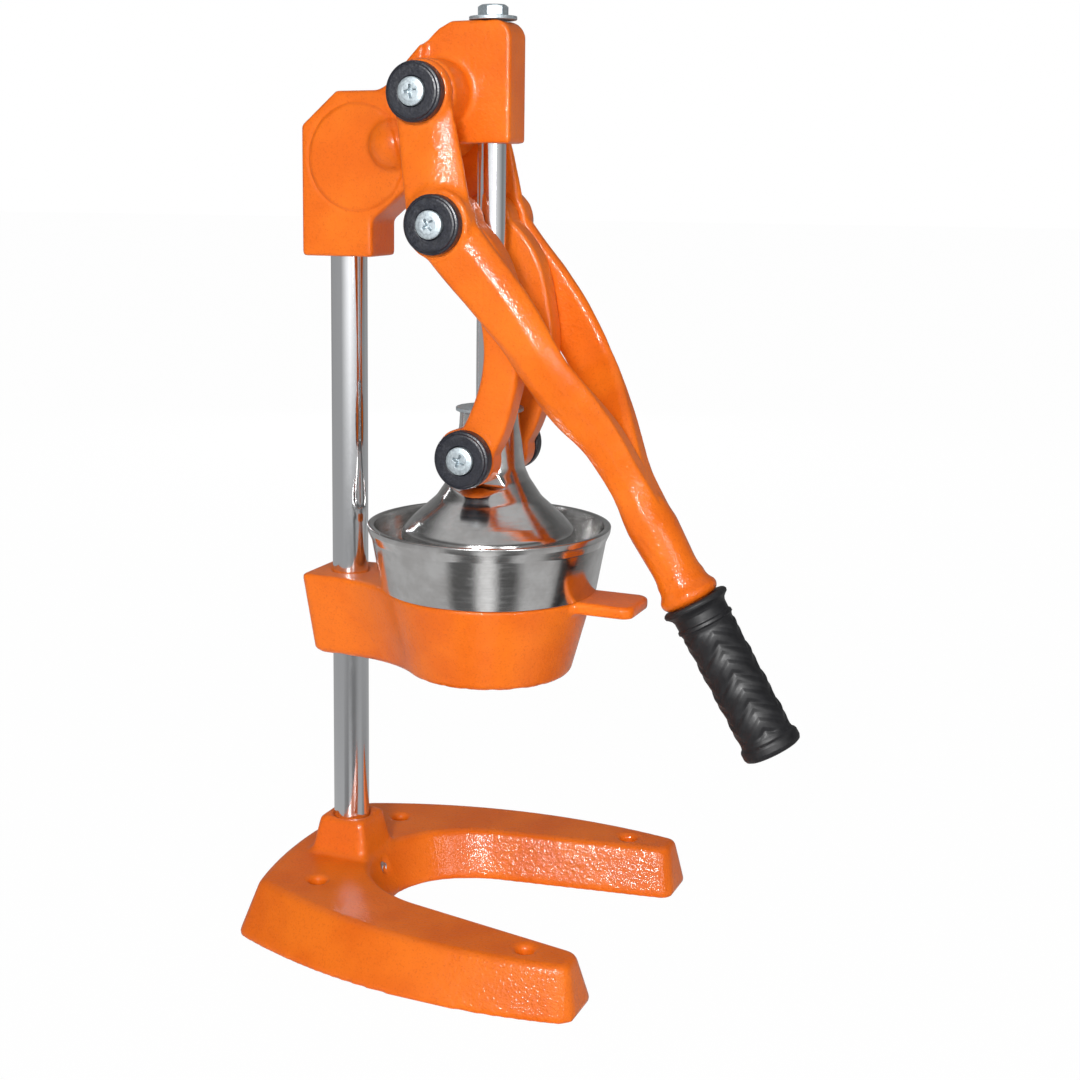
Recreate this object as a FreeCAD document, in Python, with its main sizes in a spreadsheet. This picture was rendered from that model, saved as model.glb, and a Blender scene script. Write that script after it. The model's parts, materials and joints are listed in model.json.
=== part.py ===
import FreeCAD, Part
import math
import os
import re
from FreeCAD import Placement, Rotation, Vector

# A lever citrus press. Origin on the column's axis at bench level, +X towards the
# plunger and the handle, +Z up. Left is the -Y side and right the +Y side.

# Driving dimensions: lengths in millimetres, angles in degrees
SIZES = {
    # fits
    "snug_gap": 0.04,
    "running_gap": 0.06,
    "side_gap": 0.3,
    # base casting, top outline
    "base_height": 25.5,
    "rear_radius": 252.0,
    "corner_back": 22.0,
    "corner_half": 61.0,
    "side_radius": 278.0,
    "tip_reach": 158.0,
    "tip_half": 85.5,
    "throat_reach": 17.0,
    "throat_radius": 50.0,
    "shoulder_radius": 60.0,
    "shoulder_angle": 40.0,
    "leg_angle": 10.0,
    # how much further out the foot of the base stands
    "flare_rear": 4.0,
    "flare_corner": 17.0,
    "flare_tip": 5.0,
    "flare_side": 6.5,
    "flare_throat": 10.0,
    "corner_round": 6.0,
    "tip_round": 5.5,
    "toe_round": 8.0,
    "flare_round": 4.0,
    "base_edge": 1.4,
    # column boss and bolts
    "boss_height": 19.3,
    "boss_top_half": 13.2,
    "boss_foot_half": 17.0,
    "boss_round": 3.0,
    "boss_edge": 0.8,
    "socket_floor": 6.0,
    "bolt_hole_dia": 9.0,
    "rear_bolt_x": 5.4,
    "rear_bolt_half": 48.5,
    "front_bolt_x": 133.0,
    "front_bolt_half": 75.8,
    "grub_dia": 6.0,
    "grub_height": 16.0,
    "base_grub_length": 10.5,
    "holder_grub_length": 8.0,
    "head_grub_length": 10.5,
    # column and plunger axes
    "column_dia": 19.0,
    "column_top": 416.0,
    "rod_reach": 80.0,
    "rod_dia": 14.0,
    # cup holder
    "holder_top": 180.5,
    "holder_bottom": 136.0,
    "holder_ring_top": 54.5,
    "holder_ring_foot": 42.5,
    "holder_wall": 4.2,
    "holder_block_top": 21.5,
    "holder_block_foot": 13.5,
    "holder_back_top": 19.0,
    "holder_back_foot": 15.5,
    "holder_sweep": 60.0,
    "holder_round": 4.0,
    "holder_edge": 2.5,
    "tab_reach": 162.0,
    "tab_half": 15.8,
    "tab_thick": 6.2,
    "tab_round": 6.0,
    # juice cup
    "cup_rim_height": 213.0,
    "cup_rim_radius": 62.2,
    "cup_lip_height": 7.0,
    "cup_lip_out": 2.0,
    "cup_wall": 3.2,
    "cup_floor_rise": 8.0,
    "spout_radius": 14.0,
    "spout_wall": 2.6,
    "spout_drop": 2.5,
    # strainer cone
    "strainer_top": 219.0,
    "strainer_foot_radius": 35.0,
    "strainer_wall": 2.4,
    "strainer_slots": 16,
    "strainer_slot_width": 2.6,
    # bell and its neck
    "bell_rim_height": 204.0,
    "bell_rim_radius": 44.8,
    "bell_wall": 3.4,
    "bell_ceiling": 236.5,
    "neck_top": 271.0,
    "neck_top_radius": 15.0,
    "neck_foot_radius": 18.2,
    "neck_flat_half": 15.2,
    "rod_foot": 241.0,
    "neck_disc_radius": 17.2,
    "neck_disc_thick": 1.8,
    # head casting
    "head_back": 20.3,
    "head_front": 20.0,
    "head_bottom": 347.0,
    "head_step": 365.3,
    "head_shoulder": 430.0,
    "head_chamfer": 20.0,
    "head_top": 462.5,
    "head_half": 14.0,
    "nose_front": 93.5,
    "nose_back": 66.5,
    "nose_bottom": 403.7,
    "nose_half": 10.6,
    "head_round": 2.6,
    "medal_x": 12.0,
    "medal_z": 397.0,
    "medal_radius": 27.0,
    "medal_rise": 0.9,
    "dome_x": 32.5,
    "dome_z": 403.0,
    "dome_radius": 13.6,
    "dome_rise": 9.5,
    # pivots: head, link top and plunger
    "head_pivot_x": 57.0,
    "head_pivot_z": 427.5,
    "link_pivot_x": 69.0,
    "link_pivot_z": 365.0,
    "plunger_pivot_z": 250.5,
    "sleeve_dia": 16.0,
    "cap_dia": 29.0,
    "cap_thick": 7.0,
    "cap_chamfer": 1.2,
    "cap_sink_dia": 17.0,
    "cap_sink_depth": 2.6,
    "screw_dia": 8.0,
    "screw_head_dia": 13.8,
    "screw_head_thick": 4.4,
    "screw_grip": 12.0,
    # links
    "link_thick": 14.0,
    "link_inner": 15.6,
    "link_bow_radius": 73.0,
    "link_width": 19.0,
    "link_eye_radius": 14.6,
    "link_round": 2.5,
    # lever fork
    "fork_inner": 30.3,
    "head_eye_radius": 16.0,
    "head_eye_thick": 6.4,
    "link_eye_pad_radius": 17.2,
    "link_eye_pad_thick": 12.0,
    "head_boss_radius": 16.5,
    "shank_radius": 12.4,
    "shank_lean": 30.9,
    "shank_x": 170.6,
    "shank_z": 213.2,
    "collar_radius": 14.2,
    "collar_along": 25.0,
    "collar_length": 9.0,
    "tang_dia": 17.0,
    "tang_length": 68.0,
    # grip
    "grip_length": 82.0,
    "grip_radius": 13.7,
    "grip_flange_radius": 16.8,
    "grip_flange_thick": 3.2,
    "grip_end_radius": 14.9,
    "grip_end_length": 6.0,
    "grip_floor": 5.0,
    # rod end
    "washer_dia": 23.5,
    "washer_thick": 1.8,
    "hex_across": 13.0,
    "hex_thick": 5.6,
    "hex_shank_length": 22.0,
}

doc = FreeCAD.newDocument("CitrusPress")
sheet = doc.addObject("Spreadsheet::Sheet", "Sizes")
rows = iter(range(1, 1000))


def note(word, content):
    """Writes one word and its size, or its formula, on the next row of the sheet."""
    row = next(rows)
    sheet.set(f"A{row}", word)
    sheet.set(f"B{row}", str(content))
    sheet.setAlias(f"B{row}", word)


for word, size in SIZES.items():
    note(word, size)
doc.recompute()

bodies = []


def number(formula):
    """The value of a formula written with the sheet's words."""
    return float(sheet.evalExpression(str(formula)))


def bound(formula):
    """The same formula as another object must write it."""
    return re.sub(r"\b([a-z]+(?:_[a-z]+)+)\b", r"Sizes.\1", str(formula))


def new_body(label, x=0, y=0, z=0, turn=None):
    """A sub-part, with its own frame moved to x, y, z and turned."""
    body = doc.addObject("PartDesign::Body", label)
    body.Label = label
    if turn is not None:
        body.Placement = Placement(Vector(), turn)
    for axis, formula in (("x", x), ("y", y), ("z", z)):
        if formula != 0:
            body.setExpression(f"Placement.Base.{axis}", bound(formula))
    bodies.append(body)
    return body


def plane(body, role):
    return next(f for f in body.Origin.OriginFeatures if f.Role == role)


def new_sketch(body, name, role, lift=0):
    """An empty sketch on one of the body's planes, lifted along its normal."""
    sketch = body.newObject("Sketcher::SketchObject", name)
    sketch.AttachmentSupport = [(plane(body, role), "")]
    sketch.MapMode = "FlatFace"
    if isinstance(lift, Placement):
        sketch.AttachmentOffset = lift
    elif lift != 0:
        sketch.setExpression("AttachmentOffset.Base.z", bound(lift))
    return sketch


def hold(sketch, kind, geometry, corner, formula):
    """Ties one coordinate of a point, or a radius, to a formula."""
    import Sketcher

    if kind == "Radius":
        index = sketch.addConstraint(Sketcher.Constraint(kind, geometry, number(formula)))
    else:
        index = sketch.addConstraint(
            Sketcher.Constraint(kind, -1, 1, geometry, corner, number(formula))
        )
    sketch.setExpression(f"Constraints[{index}]", bound(formula))


def minor_arc(start, end, radius):
    """The arc under half a circle from start to end. Positive radii turn left."""
    chord = end - start
    half = chord.Length / 2
    rise = math.sqrt(max(radius * radius - half * half, 0.0))
    left = Vector(-chord.y, chord.x, 0).normalize()
    centre = (start + end) * 0.5 + left * math.copysign(rise, radius)
    first, last = (start, end) if radius > 0 else (end, start)
    a = math.atan2(first.y - centre.y, first.x - centre.x)
    b = math.atan2(last.y - centre.y, last.x - centre.x)
    if b < a:
        b += 2 * math.pi
    circle = Part.Circle(centre, Vector(0, 0, 1), abs(radius))
    return Part.ArcOfCircle(circle, a, b)


def outline(body, name, role, corners, lift=0):
    """A closed sketch through corners of formulas (x, y) or (x, y, radius).

    A radius bends the edge that leaves the corner, to the left where it is positive.
    """
    import Sketcher

    sketch = new_sketch(body, name, role, lift)
    points = [Vector(number(c[0]), number(c[1]), 0) for c in corners]
    ends = []
    for i, corner in enumerate(corners):
        start, end = points[i], points[(i + 1) % len(points)]
        if len(corner) == 3:
            radius = number(corner[2])
            index = sketch.addGeometry(minor_arc(start, end, radius), False)
            ends.append((index, 1, 2) if radius > 0 else (index, 2, 1))
        else:
            index = sketch.addGeometry(Part.LineSegment(start, end), False)
            ends.append((index, 1, 2))
    for i, (index, first, last) in enumerate(ends):
        following = ends[(i + 1) % len(ends)]
        sketch.addConstraint(
            Sketcher.Constraint("Coincident", index, last, following[0], following[1])
        )
    for i, corner in enumerate(corners):
        index, first, last = ends[i]
        hold(sketch, "DistanceX", index, first, corner[0])
        hold(sketch, "DistanceY", index, first, corner[1])
        if len(corner) == 3:
            hold(sketch, "Radius", index, 0, f"abs({corner[2]})")
    return sketch


def circles(body, name, role, rounds, lift=0):
    """A sketch of circles, each with formulas (x, y, diameter)."""
    sketch = new_sketch(body, name, role, lift)
    for x, y, dia in rounds:
        circle = Part.Circle(Vector(number(x), number(y), 0), Vector(0, 0, 1), number(dia) / 2)
        index = sketch.addGeometry(circle, False)
        hold(sketch, "DistanceX", index, 3, x)
        hold(sketch, "DistanceY", index, 3, y)
        hold(sketch, "Radius", index, 0, f"({dia}) / 2")
    return sketch


def slab(body, name, sketch, length, midplane=False, cut=False, flip=False):
    """Pads a sketch, or cuts it out, by a length."""
    feature = body.newObject("PartDesign::Pocket" if cut else "PartDesign::Pad", name)
    feature.Profile = sketch
    feature.setExpression("Length", bound(length))
    feature.Midplane = midplane
    feature.Reversed = flip
    sketch.Visibility = False
    doc.recompute()
    return feature


def turned(body, name, sketch, cut=False):
    """Turns a sketch about its own upright axis."""
    feature = body.newObject("PartDesign::Groove" if cut else "PartDesign::Revolution", name)
    feature.Profile = sketch
    feature.ReferenceAxis = (sketch, ["V_Axis"])
    feature.Angle = 360.0
    doc.recompute()
    return feature


def lofted(body, name, sketches, ruled=False):
    """Skins two or more sketches."""
    feature = body.newObject("PartDesign::AdditiveLoft", name)
    feature.Profile = sketches[0]
    feature.Sections = sketches[1:]
    feature.Ruled = ruled
    doc.recompute()
    return feature


def edges(body, wanted):
    """The names of the body's edges whose shape passes a test."""
    return [f"Edge{i}" for i, edge in enumerate(body.Shape.Edges, start=1) if wanted(edge)]


def rounded(body, name, names, radius, kind="Fillet"):
    """Rounds or chamfers edges of the body by name."""
    base = body.Tip
    feature = body.newObject(f"PartDesign::{kind}", name)
    feature.Base = (base, names)
    feature.setExpression("Radius" if kind == "Fillet" else "Size", bound(radius))
    doc.recompute()
    return feature


def symmetric(half, bends, middle, closing):
    """Corners of an outline that is the same on both sides of the X axis.

    half are the points on the -Y side with y as a positive formula, bends the radii of the
    edges between them, middle the radius where the outline crosses over and closing the
    radius where it comes back. A bend of 0 is a straight edge.
    """
    near = [(x, f"-({y})") for x, y in half]
    far = [(x, f"({y})") for x, y in reversed(half)]
    radii = [*bends, middle, *reversed(bends), closing]
    return [
        point if radius == 0 else (*point, radius)
        for point, radius in zip(near + far, radii, strict=True)
    ]


def base_outline(body, word, out, lift, inset="0"):
    """The horseshoe: out is the share of each flare, inset how far its rim steps back."""
    note(f"{word}_corner_x", f"=-(corner_back + {out} * flare_rear) + {inset}")
    note(f"{word}_corner_y", f"=corner_half + {out} * flare_corner - {inset}")
    note(f"{word}_tip_x", f"=tip_reach + {out} * flare_tip - {inset}")
    note(f"{word}_tip_y", f"=tip_half + {out} * flare_side - {inset}")
    note(f"{word}_throat", f"=throat_radius - {out} * flare_throat + {inset}")
    note(f"{word}_bend_x", f"=throat_reach + throat_radius - {word}_throat * sin(shoulder_angle)")
    note(f"{word}_bend_y", f"={word}_throat * cos(shoulder_angle)")
    note(
        f"{word}_leg_x",
        f"={word}_bend_x + (shoulder_radius + {inset}) * (sin(shoulder_angle) - sin(leg_angle))",
    )
    note(
        f"{word}_leg_y",
        f"={word}_bend_y + (shoulder_radius + {inset}) * (cos(leg_angle) - cos(shoulder_angle))",
    )
    note(f"{word}_toe_y", f"={word}_leg_y + ({word}_tip_x - {word}_leg_x) * tan(leg_angle)")
    note(f"{word}_run", f"={word}_tip_x - {word}_corner_x")
    note(f"{word}_rise", f"={word}_tip_y - {word}_corner_y")
    note(f"{word}_lean", f"=atan({word}_rise / {word}_run)")
    note(f"{word}_bow", f"=asin(hypot({word}_run; {word}_rise) / 2 / side_radius)")
    note(f"{word}_rear", f"=asin({word}_corner_y / rear_radius)")
    note(f"{word}_round", f"=corner_round + {out} * flare_round - {inset}")
    turn = f"(90 deg - {word}_rear - {word}_lean - {word}_bow)"
    note(f"{word}_cut", f"={word}_round * tan({turn} / 2)")
    note(f"{word}_tip_round", f"=tip_round + {out} * flare_round - {inset}")
    note(f"{word}_tip_cut", f"={word}_tip_round * tan((90 deg - {word}_bow + {word}_lean) / 2)")
    note(f"{word}_toe_round", f"=toe_round - {inset}")
    note(f"{word}_toe_cut", f"={word}_toe_round * tan((90 - leg_angle) / 2)")
    doc.recompute()
    half = [
        (f"{word}_corner_x - {word}_cut * sin({word}_rear)",
         f"{word}_corner_y - {word}_cut * cos({word}_rear)"),
        (f"{word}_corner_x + {word}_cut * cos({word}_lean + {word}_bow)",
         f"{word}_corner_y + {word}_cut * sin({word}_lean + {word}_bow)"),
        (f"{word}_tip_x - {word}_tip_cut * cos({word}_bow - {word}_lean)",
         f"{word}_tip_y + {word}_tip_cut * sin({word}_bow - {word}_lean)"),
        (f"{word}_tip_x", f"{word}_tip_y - {word}_tip_cut"),
        (f"{word}_tip_x", f"{word}_toe_y + {word}_toe_cut"),
        (f"{word}_tip_x - {word}_toe_cut * cos(leg_angle)",
         f"{word}_toe_y - {word}_toe_cut * sin(leg_angle)"),
        (f"{word}_leg_x", f"{word}_leg_y"),
        (f"{word}_bend_x", f"{word}_bend_y"),
    ]
    bends = [
        f"{word}_round", "side_radius", f"{word}_tip_round", 0, f"{word}_toe_round", 0,
        f"-(shoulder_radius + {inset})",
    ]
    corners = symmetric(half, bends, f"-{word}_throat", "rear_radius")
    return outline(body, f"{word}_outline", "XY_Plane", corners, lift)


def rounded_square(body, name, half, bend, lift):
    """A square round the origin with bent corners."""
    far = f"({half} - {bend})"
    corners = symmetric(
        [(f"-({half})", far), (f"-{far}", half), (far, half), (half, far)],
        [bend, 0, bend], 0, 0,
    )
    return outline(body, name, "XY_Plane", corners, lift)


def base_casting():
    body = new_body("base_casting")
    stages = [
        base_outline(body, "foot", "1", 0),
        base_outline(body, "rim", "(base_edge / base_height)", "base_height - base_edge"),
        base_outline(body, "deck", "0", "base_height", "base_edge"),
    ]
    lofted(body, "horseshoe", stages, ruled=True)
    crown = "base_height + boss_height"
    stages = [
        rounded_square(body, "boss_foot", "boss_foot_half", "boss_round", "base_height - 1"),
        rounded_square(body, "boss_rim", "boss_top_half", "boss_round", f"{crown} - boss_edge"),
        rounded_square(
            body, "boss_top", "(boss_top_half - boss_edge)", "(boss_round - boss_edge)", crown
        ),
    ]
    lofted(body, "column_boss", stages, ruled=True)
    socket = circles(body, "socket", "XY_Plane", [(0, 0, "column_dia + 2 * snug_gap")], "socket_floor")
    slab(body, "column_socket", socket, "base_height + boss_height", cut=True, flip=True)
    bolts = circles(
        body,
        "bolts",
        "XY_Plane",
        [
            (x, f"{side} * {half}", "bolt_hole_dia")
            for x, half in (("rear_bolt_x", "rear_bolt_half"), ("front_bolt_x", "front_bolt_half"))
            for side in (-1, 1)
        ],
    )
    slab(body, "bolt_holes", bolts, "3 * base_height", midplane=True, cut=True)
    grub = circles(body, "grub", "YZ_Plane", [(0, "grub_height", "grub_dia + 2 * snug_gap")])
    slab(body, "grub_hole", grub, "throat_reach + flare_throat + 5", cut=True, flip=True)


def grub_screw(label, x, z, turn, length):
    """A set screw with a flat driving slot, point at its own origin."""
    body = new_body(label, x, 0, z, turn)
    profile = outline(
        body,
        "profile",
        "XZ_Plane",
        [
            (0, 0),
            ("grub_dia / 2 - 1", 0),
            ("grub_dia / 2", 1),
            ("grub_dia / 2", length),
            (0, length),
        ],
    )
    turned(body, "shank", profile)
    slot = outline(
        body,
        "slot",
        "XZ_Plane",
        [
            ("-0.1 * grub_dia", f"{length} - 1.6"),
            ("0.1 * grub_dia", f"{length} - 1.6"),
            ("0.1 * grub_dia", f"{length} + 1"),
            ("-0.1 * grub_dia", f"{length} + 1"),
        ],
    )
    slab(body, "driving_slot", slot, "2 * grub_dia", midplane=True, cut=True)


def column():
    body = new_body("column")
    foot = "socket_floor + 0.5"
    profile = outline(
        body,
        "profile",
        "XZ_Plane",
        [
            (0, foot),
            ("column_dia / 2 - 1", foot),
            ("column_dia / 2", f"{foot} + 1"),
            ("column_dia / 2", "column_top - 1"),
            ("column_dia / 2 - 1", "column_top"),
            (0, "column_top"),
        ],
    )
    turned(body, "bar", profile)


def holder_outline(body, word, back, half, ring, lift, inset="0"):
    """A block round the column that sweeps out into the cup's ring."""
    note(f"{word}_back", f"={back} - {inset}")
    note(f"{word}_half", f"={half} - {inset}")
    note(f"{word}_ring", f"={ring} - {inset}")
    note(f"{word}_sweep", f"=holder_sweep + {inset}")
    note(
        f"{word}_away",
        f"=sqrt(pow({word}_ring + {word}_sweep; 2) - pow({word}_half + {word}_sweep; 2))",
    )
    note(f"{word}_share", f"={word}_ring / ({word}_ring + {word}_sweep)")
    doc.recompute()
    half_points = [
        (f"-{word}_back", f"{word}_half - holder_round"),
        (f"holder_round - {word}_back", f"{word}_half"),
        (f"rod_reach - {word}_away", f"{word}_half"),
        (f"rod_reach - {word}_away * {word}_share", f"({word}_half + {word}_sweep) * {word}_share"),
    ]
    bends = ["holder_round", 0, f"-{word}_sweep"]
    corners = symmetric(half_points, bends, f"{word}_ring", 0)
    near, far = corners[:4], corners[4:]
    front = (f"rod_reach + {word}_ring", 0, f"{word}_ring")
    return outline(body, f"{word}_outline", "XY_Plane", [*near, front, *far], lift)


def cup_holder():
    body = new_body("cup_holder")
    note("slope_share", "=holder_edge / (holder_top - holder_bottom)")
    for part_word in ("back", "block", "ring"):
        low, high = f"holder_{part_word}_foot", f"holder_{part_word}_top"
        note(f"bevel_{part_word}", f"={low} + slope_share * ({high} - {low})")
    doc.recompute()
    stages = [
        holder_outline(
            body, "sole", "holder_back_foot", "holder_block_foot", "holder_ring_foot",
            "holder_bottom", "holder_edge",
        ),
        holder_outline(
            body, "knee", "bevel_back", "bevel_block", "bevel_ring", "holder_bottom + holder_edge"
        ),
        holder_outline(
            body, "brim", "holder_back_top", "holder_block_top", "holder_ring_top", "holder_top"
        ),
    ]
    lofted(body, "arm_and_ring", stages, ruled=True)
    tab = outline(
        body,
        "tab_outline",
        "XY_Plane",
        [
            ("rod_reach + holder_ring_top - holder_wall + 1", "-tab_half"),
            ("tab_reach - tab_round", "-tab_half", "tab_round"),
            ("tab_reach", "-tab_half + tab_round"),
            ("tab_reach", "tab_half - tab_round", "tab_round"),
            ("tab_reach - tab_round", "tab_half"),
            ("rod_reach + holder_ring_top - holder_wall + 1", "tab_half"),
        ],
        "holder_top",
    )
    slab(body, "thumb_tab", tab, "tab_thick", flip=True)
    bore = outline(
        body,
        "bore_profile",
        "XZ_Plane",
        [
            ("rod_reach", "holder_bottom - 1"),
            ("rod_reach + holder_ring_foot - holder_wall", "holder_bottom - 1"),
            ("rod_reach + holder_ring_top - holder_wall", "holder_top"),
            ("rod_reach + holder_ring_top - holder_wall", "holder_top + 1"),
            ("rod_reach", "holder_top + 1"),
        ],
    )
    axis = body.newObject("PartDesign::Line", "cup_axis")
    axis.AttachmentSupport = [(plane(body, "XZ_Plane"), "")]
    axis.MapMode = "ObjectY"
    axis.setExpression("AttachmentOffset.Base.x", bound("rod_reach"))
    seat = body.newObject("PartDesign::Groove", "cup_seat")
    seat.Profile = bore
    seat.ReferenceAxis = (axis, [""])
    seat.Angle = 360.0
    doc.recompute()
    hole = circles(body, "hole", "XY_Plane", [(0, 0, "column_dia + 2 * snug_gap")])
    slab(body, "column_hole", hole, "3 * holder_top", midplane=True, cut=True)
    grub = circles(
        body, "grub", "YZ_Plane",
        [(0, "(holder_top + holder_bottom) / 2", "grub_dia + 2 * snug_gap")],
    )
    slab(body, "grub_hole", grub, "holder_back_top + 2", cut=True)


def juice_cup():
    """A flanged cup: its bowl hangs in the holder's ring and its spout points down."""
    body = new_body("juice_cup", "rod_reach")
    taper = "((holder_ring_top - holder_ring_foot) / (holder_top - holder_bottom))"
    bowl_top = "(holder_ring_top - holder_wall - snug_gap)"
    floor = "(holder_bottom + cup_floor_rise)"
    bowl_foot = f"({bowl_top} - {taper} * (holder_top - {floor}))"
    neck_z = "(cup_rim_height - cup_lip_height)"
    neck_r = "(cup_rim_radius - cup_lip_out)"
    profile = outline(
        body,
        "profile",
        "XZ_Plane",
        [
            ("spout_radius - spout_wall", "holder_bottom - spout_drop"),
            ("spout_radius", "holder_bottom - spout_drop"),
            ("spout_radius", f"{floor} - 3"),
            (bowl_foot, floor),
            (bowl_top, "holder_top"),
            ("holder_ring_top + 0.8", "holder_top"),
            (neck_r, neck_z),
            ("cup_rim_radius", "cup_rim_height - 2.4"),
            ("cup_rim_radius", "cup_rim_height - 0.8", 0.8),
            ("cup_rim_radius - 0.8", "cup_rim_height"),
            ("cup_rim_radius - cup_wall", "cup_rim_height", 1.2),
            ("cup_rim_radius - cup_wall - 1.2", "cup_rim_height - 1.2"),
            (f"{neck_r} - cup_wall", f"{neck_z} - 2"),
            ("holder_ring_top - cup_wall + 0.5", "holder_top + 3"),
            (f"{bowl_top} - cup_wall", "holder_top + 3"),
            (f"{bowl_foot} - cup_wall", f"{floor} + cup_wall"),
            ("spout_radius - spout_wall", f"{floor} + cup_wall - 4"),
        ],
    )
    turned(body, "shell", profile)


def strainer_cone():
    """A slotted dome with a flange that rests on the cup's inner ledge."""
    body = new_body("strainer_cone", "rod_reach")
    ledge = "(holder_top + 3)"
    flange = "(holder_ring_top - cup_wall - 0.3)"
    profile = outline(
        body,
        "profile",
        "XZ_Plane",
        [
            ("strainer_foot_radius - strainer_wall", ledge),
            (flange, ledge),
            (flange, f"{ledge} + strainer_wall"),
            ("strainer_foot_radius", f"{ledge} + strainer_wall"),
            ("strainer_foot_radius * 0.86", "strainer_top - 17", 26),
            ("strainer_foot_radius * 0.2", "strainer_top - 1"),
            (0, "strainer_top"),
            (0, "strainer_top - strainer_wall"),
            ("strainer_foot_radius * 0.2 - 1", "strainer_top - 1 - strainer_wall", -24),
            ("strainer_foot_radius * 0.86 - strainer_wall", "strainer_top - 18"),
        ],
    )
    turned(body, "dome", profile)
    slots = outline(
        body,
        "slot_outline",
        "YZ_Plane",
        [
            ("-strainer_slot_width / 2", f"{ledge} + strainer_wall + 2"),
            ("strainer_slot_width / 2", f"{ledge} + strainer_wall + 2"),
            ("strainer_slot_width / 2", "strainer_top - 14"),
            ("-strainer_slot_width / 2", "strainer_top - 14"),
        ],
    )
    slot = slab(body, "slot", slots, "2 * strainer_foot_radius", cut=True, flip=True)
    ring = body.newObject("PartDesign::PolarPattern", "slot_ring")
    ring.Originals = [slot]
    ring.Axis = (plane(body, "Z_Axis"), [""])
    ring.Angle = 360.0
    ring.setExpression("Occurrences", bound("strainer_slots"))
    body.Tip = ring
    doc.recompute()


def press_bell():
    """The bell that presses the fruit, with its neck for the rod and the links."""
    body = new_body("press_bell", "rod_reach")
    rim = "bell_rim_height"
    profile = outline(
        body,
        "profile",
        "XZ_Plane",
        [
            ("bell_rim_radius - bell_wall", rim),
            ("bell_rim_radius - 1.2", rim, 1.2),
            ("bell_rim_radius", f"{rim} + 1.2"),
            ("bell_rim_radius", f"{rim} + 4.5", 3.5),
            ("bell_rim_radius - 2.6", f"{rim} + 8.5", -60),
            ("neck_foot_radius + 5.6", f"{rim} + 27.5", -22),
            ("neck_foot_radius", f"{rim} + 38"),
            ("neck_top_radius", "neck_top - 0.8", 0.8),
            ("neck_top_radius - 0.8", "neck_top"),
            (0, "neck_top"),
            (0, "bell_ceiling"),
            ("neck_foot_radius * 0.6", "bell_ceiling - 1.2", -40),
            ("bell_rim_radius - bell_wall - 5", f"{rim} + 10", -60),
        ],
    )
    turned(body, "bell", profile)
    for side, role in ((1, "near"), (-1, "far")):
        cheek = outline(
            body,
            f"{role}_cheek",
            "YZ_Plane",
            [
                (f"{side} * neck_flat_half", "neck_top + 1"),
                (f"{side} * neck_flat_half", "plunger_pivot_z - link_eye_radius - 0.6"),
                (f"{side} * (neck_flat_half + 8)", "plunger_pivot_z - link_eye_radius - 5"),
                (f"{side} * (neck_flat_half + 8)", "neck_top + 1"),
            ],
        )
        slab(body, f"{role}_flat", cheek, "4 * neck_foot_radius", midplane=True, cut=True)
    bore = circles(body, "bore", "XY_Plane", [(0, 0, "rod_dia + 2 * snug_gap")], "rod_foot")
    slab(body, "rod_bore", bore, "neck_top", cut=True, flip=True)
    cross = circles(body, "cross", "XZ_Plane", [(0, "plunger_pivot_z", "screw_dia + 2 * snug_gap")])
    slab(body, "cross_hole", cross, "4 * neck_foot_radius", midplane=True, cut=True)


def plunger_rod():
    body = new_body("plunger_rod", "rod_reach")
    top = "(head_top + side_gap)"
    profile = outline(
        body,
        "profile",
        "XZ_Plane",
        [
            (0, "rod_foot"),
            ("rod_dia / 2 - 1", "rod_foot"),
            ("rod_dia / 2", "rod_foot + 1"),
            ("rod_dia / 2", f"{top} - 0.8"),
            ("rod_dia / 2 - 0.8", top),
            (0, top),
        ],
    )
    turned(body, "bar", profile)
    tapped = circles(body, "tapped", "XY_Plane", [(0, 0, "screw_dia + 2 * snug_gap")], f"{top} + 1")
    slab(body, "tapped_hole", tapped, "hex_shank_length + 3", cut=True)
    cross = circles(body, "cross", "XZ_Plane", [(0, "plunger_pivot_z", "screw_dia + 2 * snug_gap")])
    slab(body, "cross_hole", cross, "2 * rod_dia", midplane=True, cut=True)


def rod_top_washer():
    body = new_body("rod_top_washer", "rod_reach", 0, "head_top + side_gap")
    disc = circles(
        body, "disc", "XY_Plane", [(0, 0, "washer_dia"), (0, 0, "screw_dia + 0.4")]
    )
    slab(body, "washer", disc, "washer_thick")


def rod_top_bolt():
    """A hexagon bolt, with its head's underside at its own origin."""
    body = new_body("rod_top_bolt", "rod_reach", 0, "head_top + side_gap + washer_thick")
    corner = "hex_across / sqrt(3)"
    points = [(f"{corner} * cos({60 * i})", f"{corner} * sin({60 * i})") for i in range(6)]
    slab(body, "hexagon", outline(body, "flats", "XY_Plane", points), "hex_thick")
    shank = circles(body, "round", "XY_Plane", [(0, 0, "screw_dia")])
    slab(body, "shank", shank, "hex_shank_length", flip=True)
    cone = outline(
        body,
        "crown_profile",
        "XZ_Plane",
        [
            ("hex_across / 2", "hex_thick"),
            (f"{corner} + 1", "hex_thick - 1.1"),
            (f"{corner} + 1", "hex_thick + 1"),
            ("hex_across / 2", "hex_thick + 1"),
        ],
    )
    turned(body, "crown", cone, cut=True)


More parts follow.
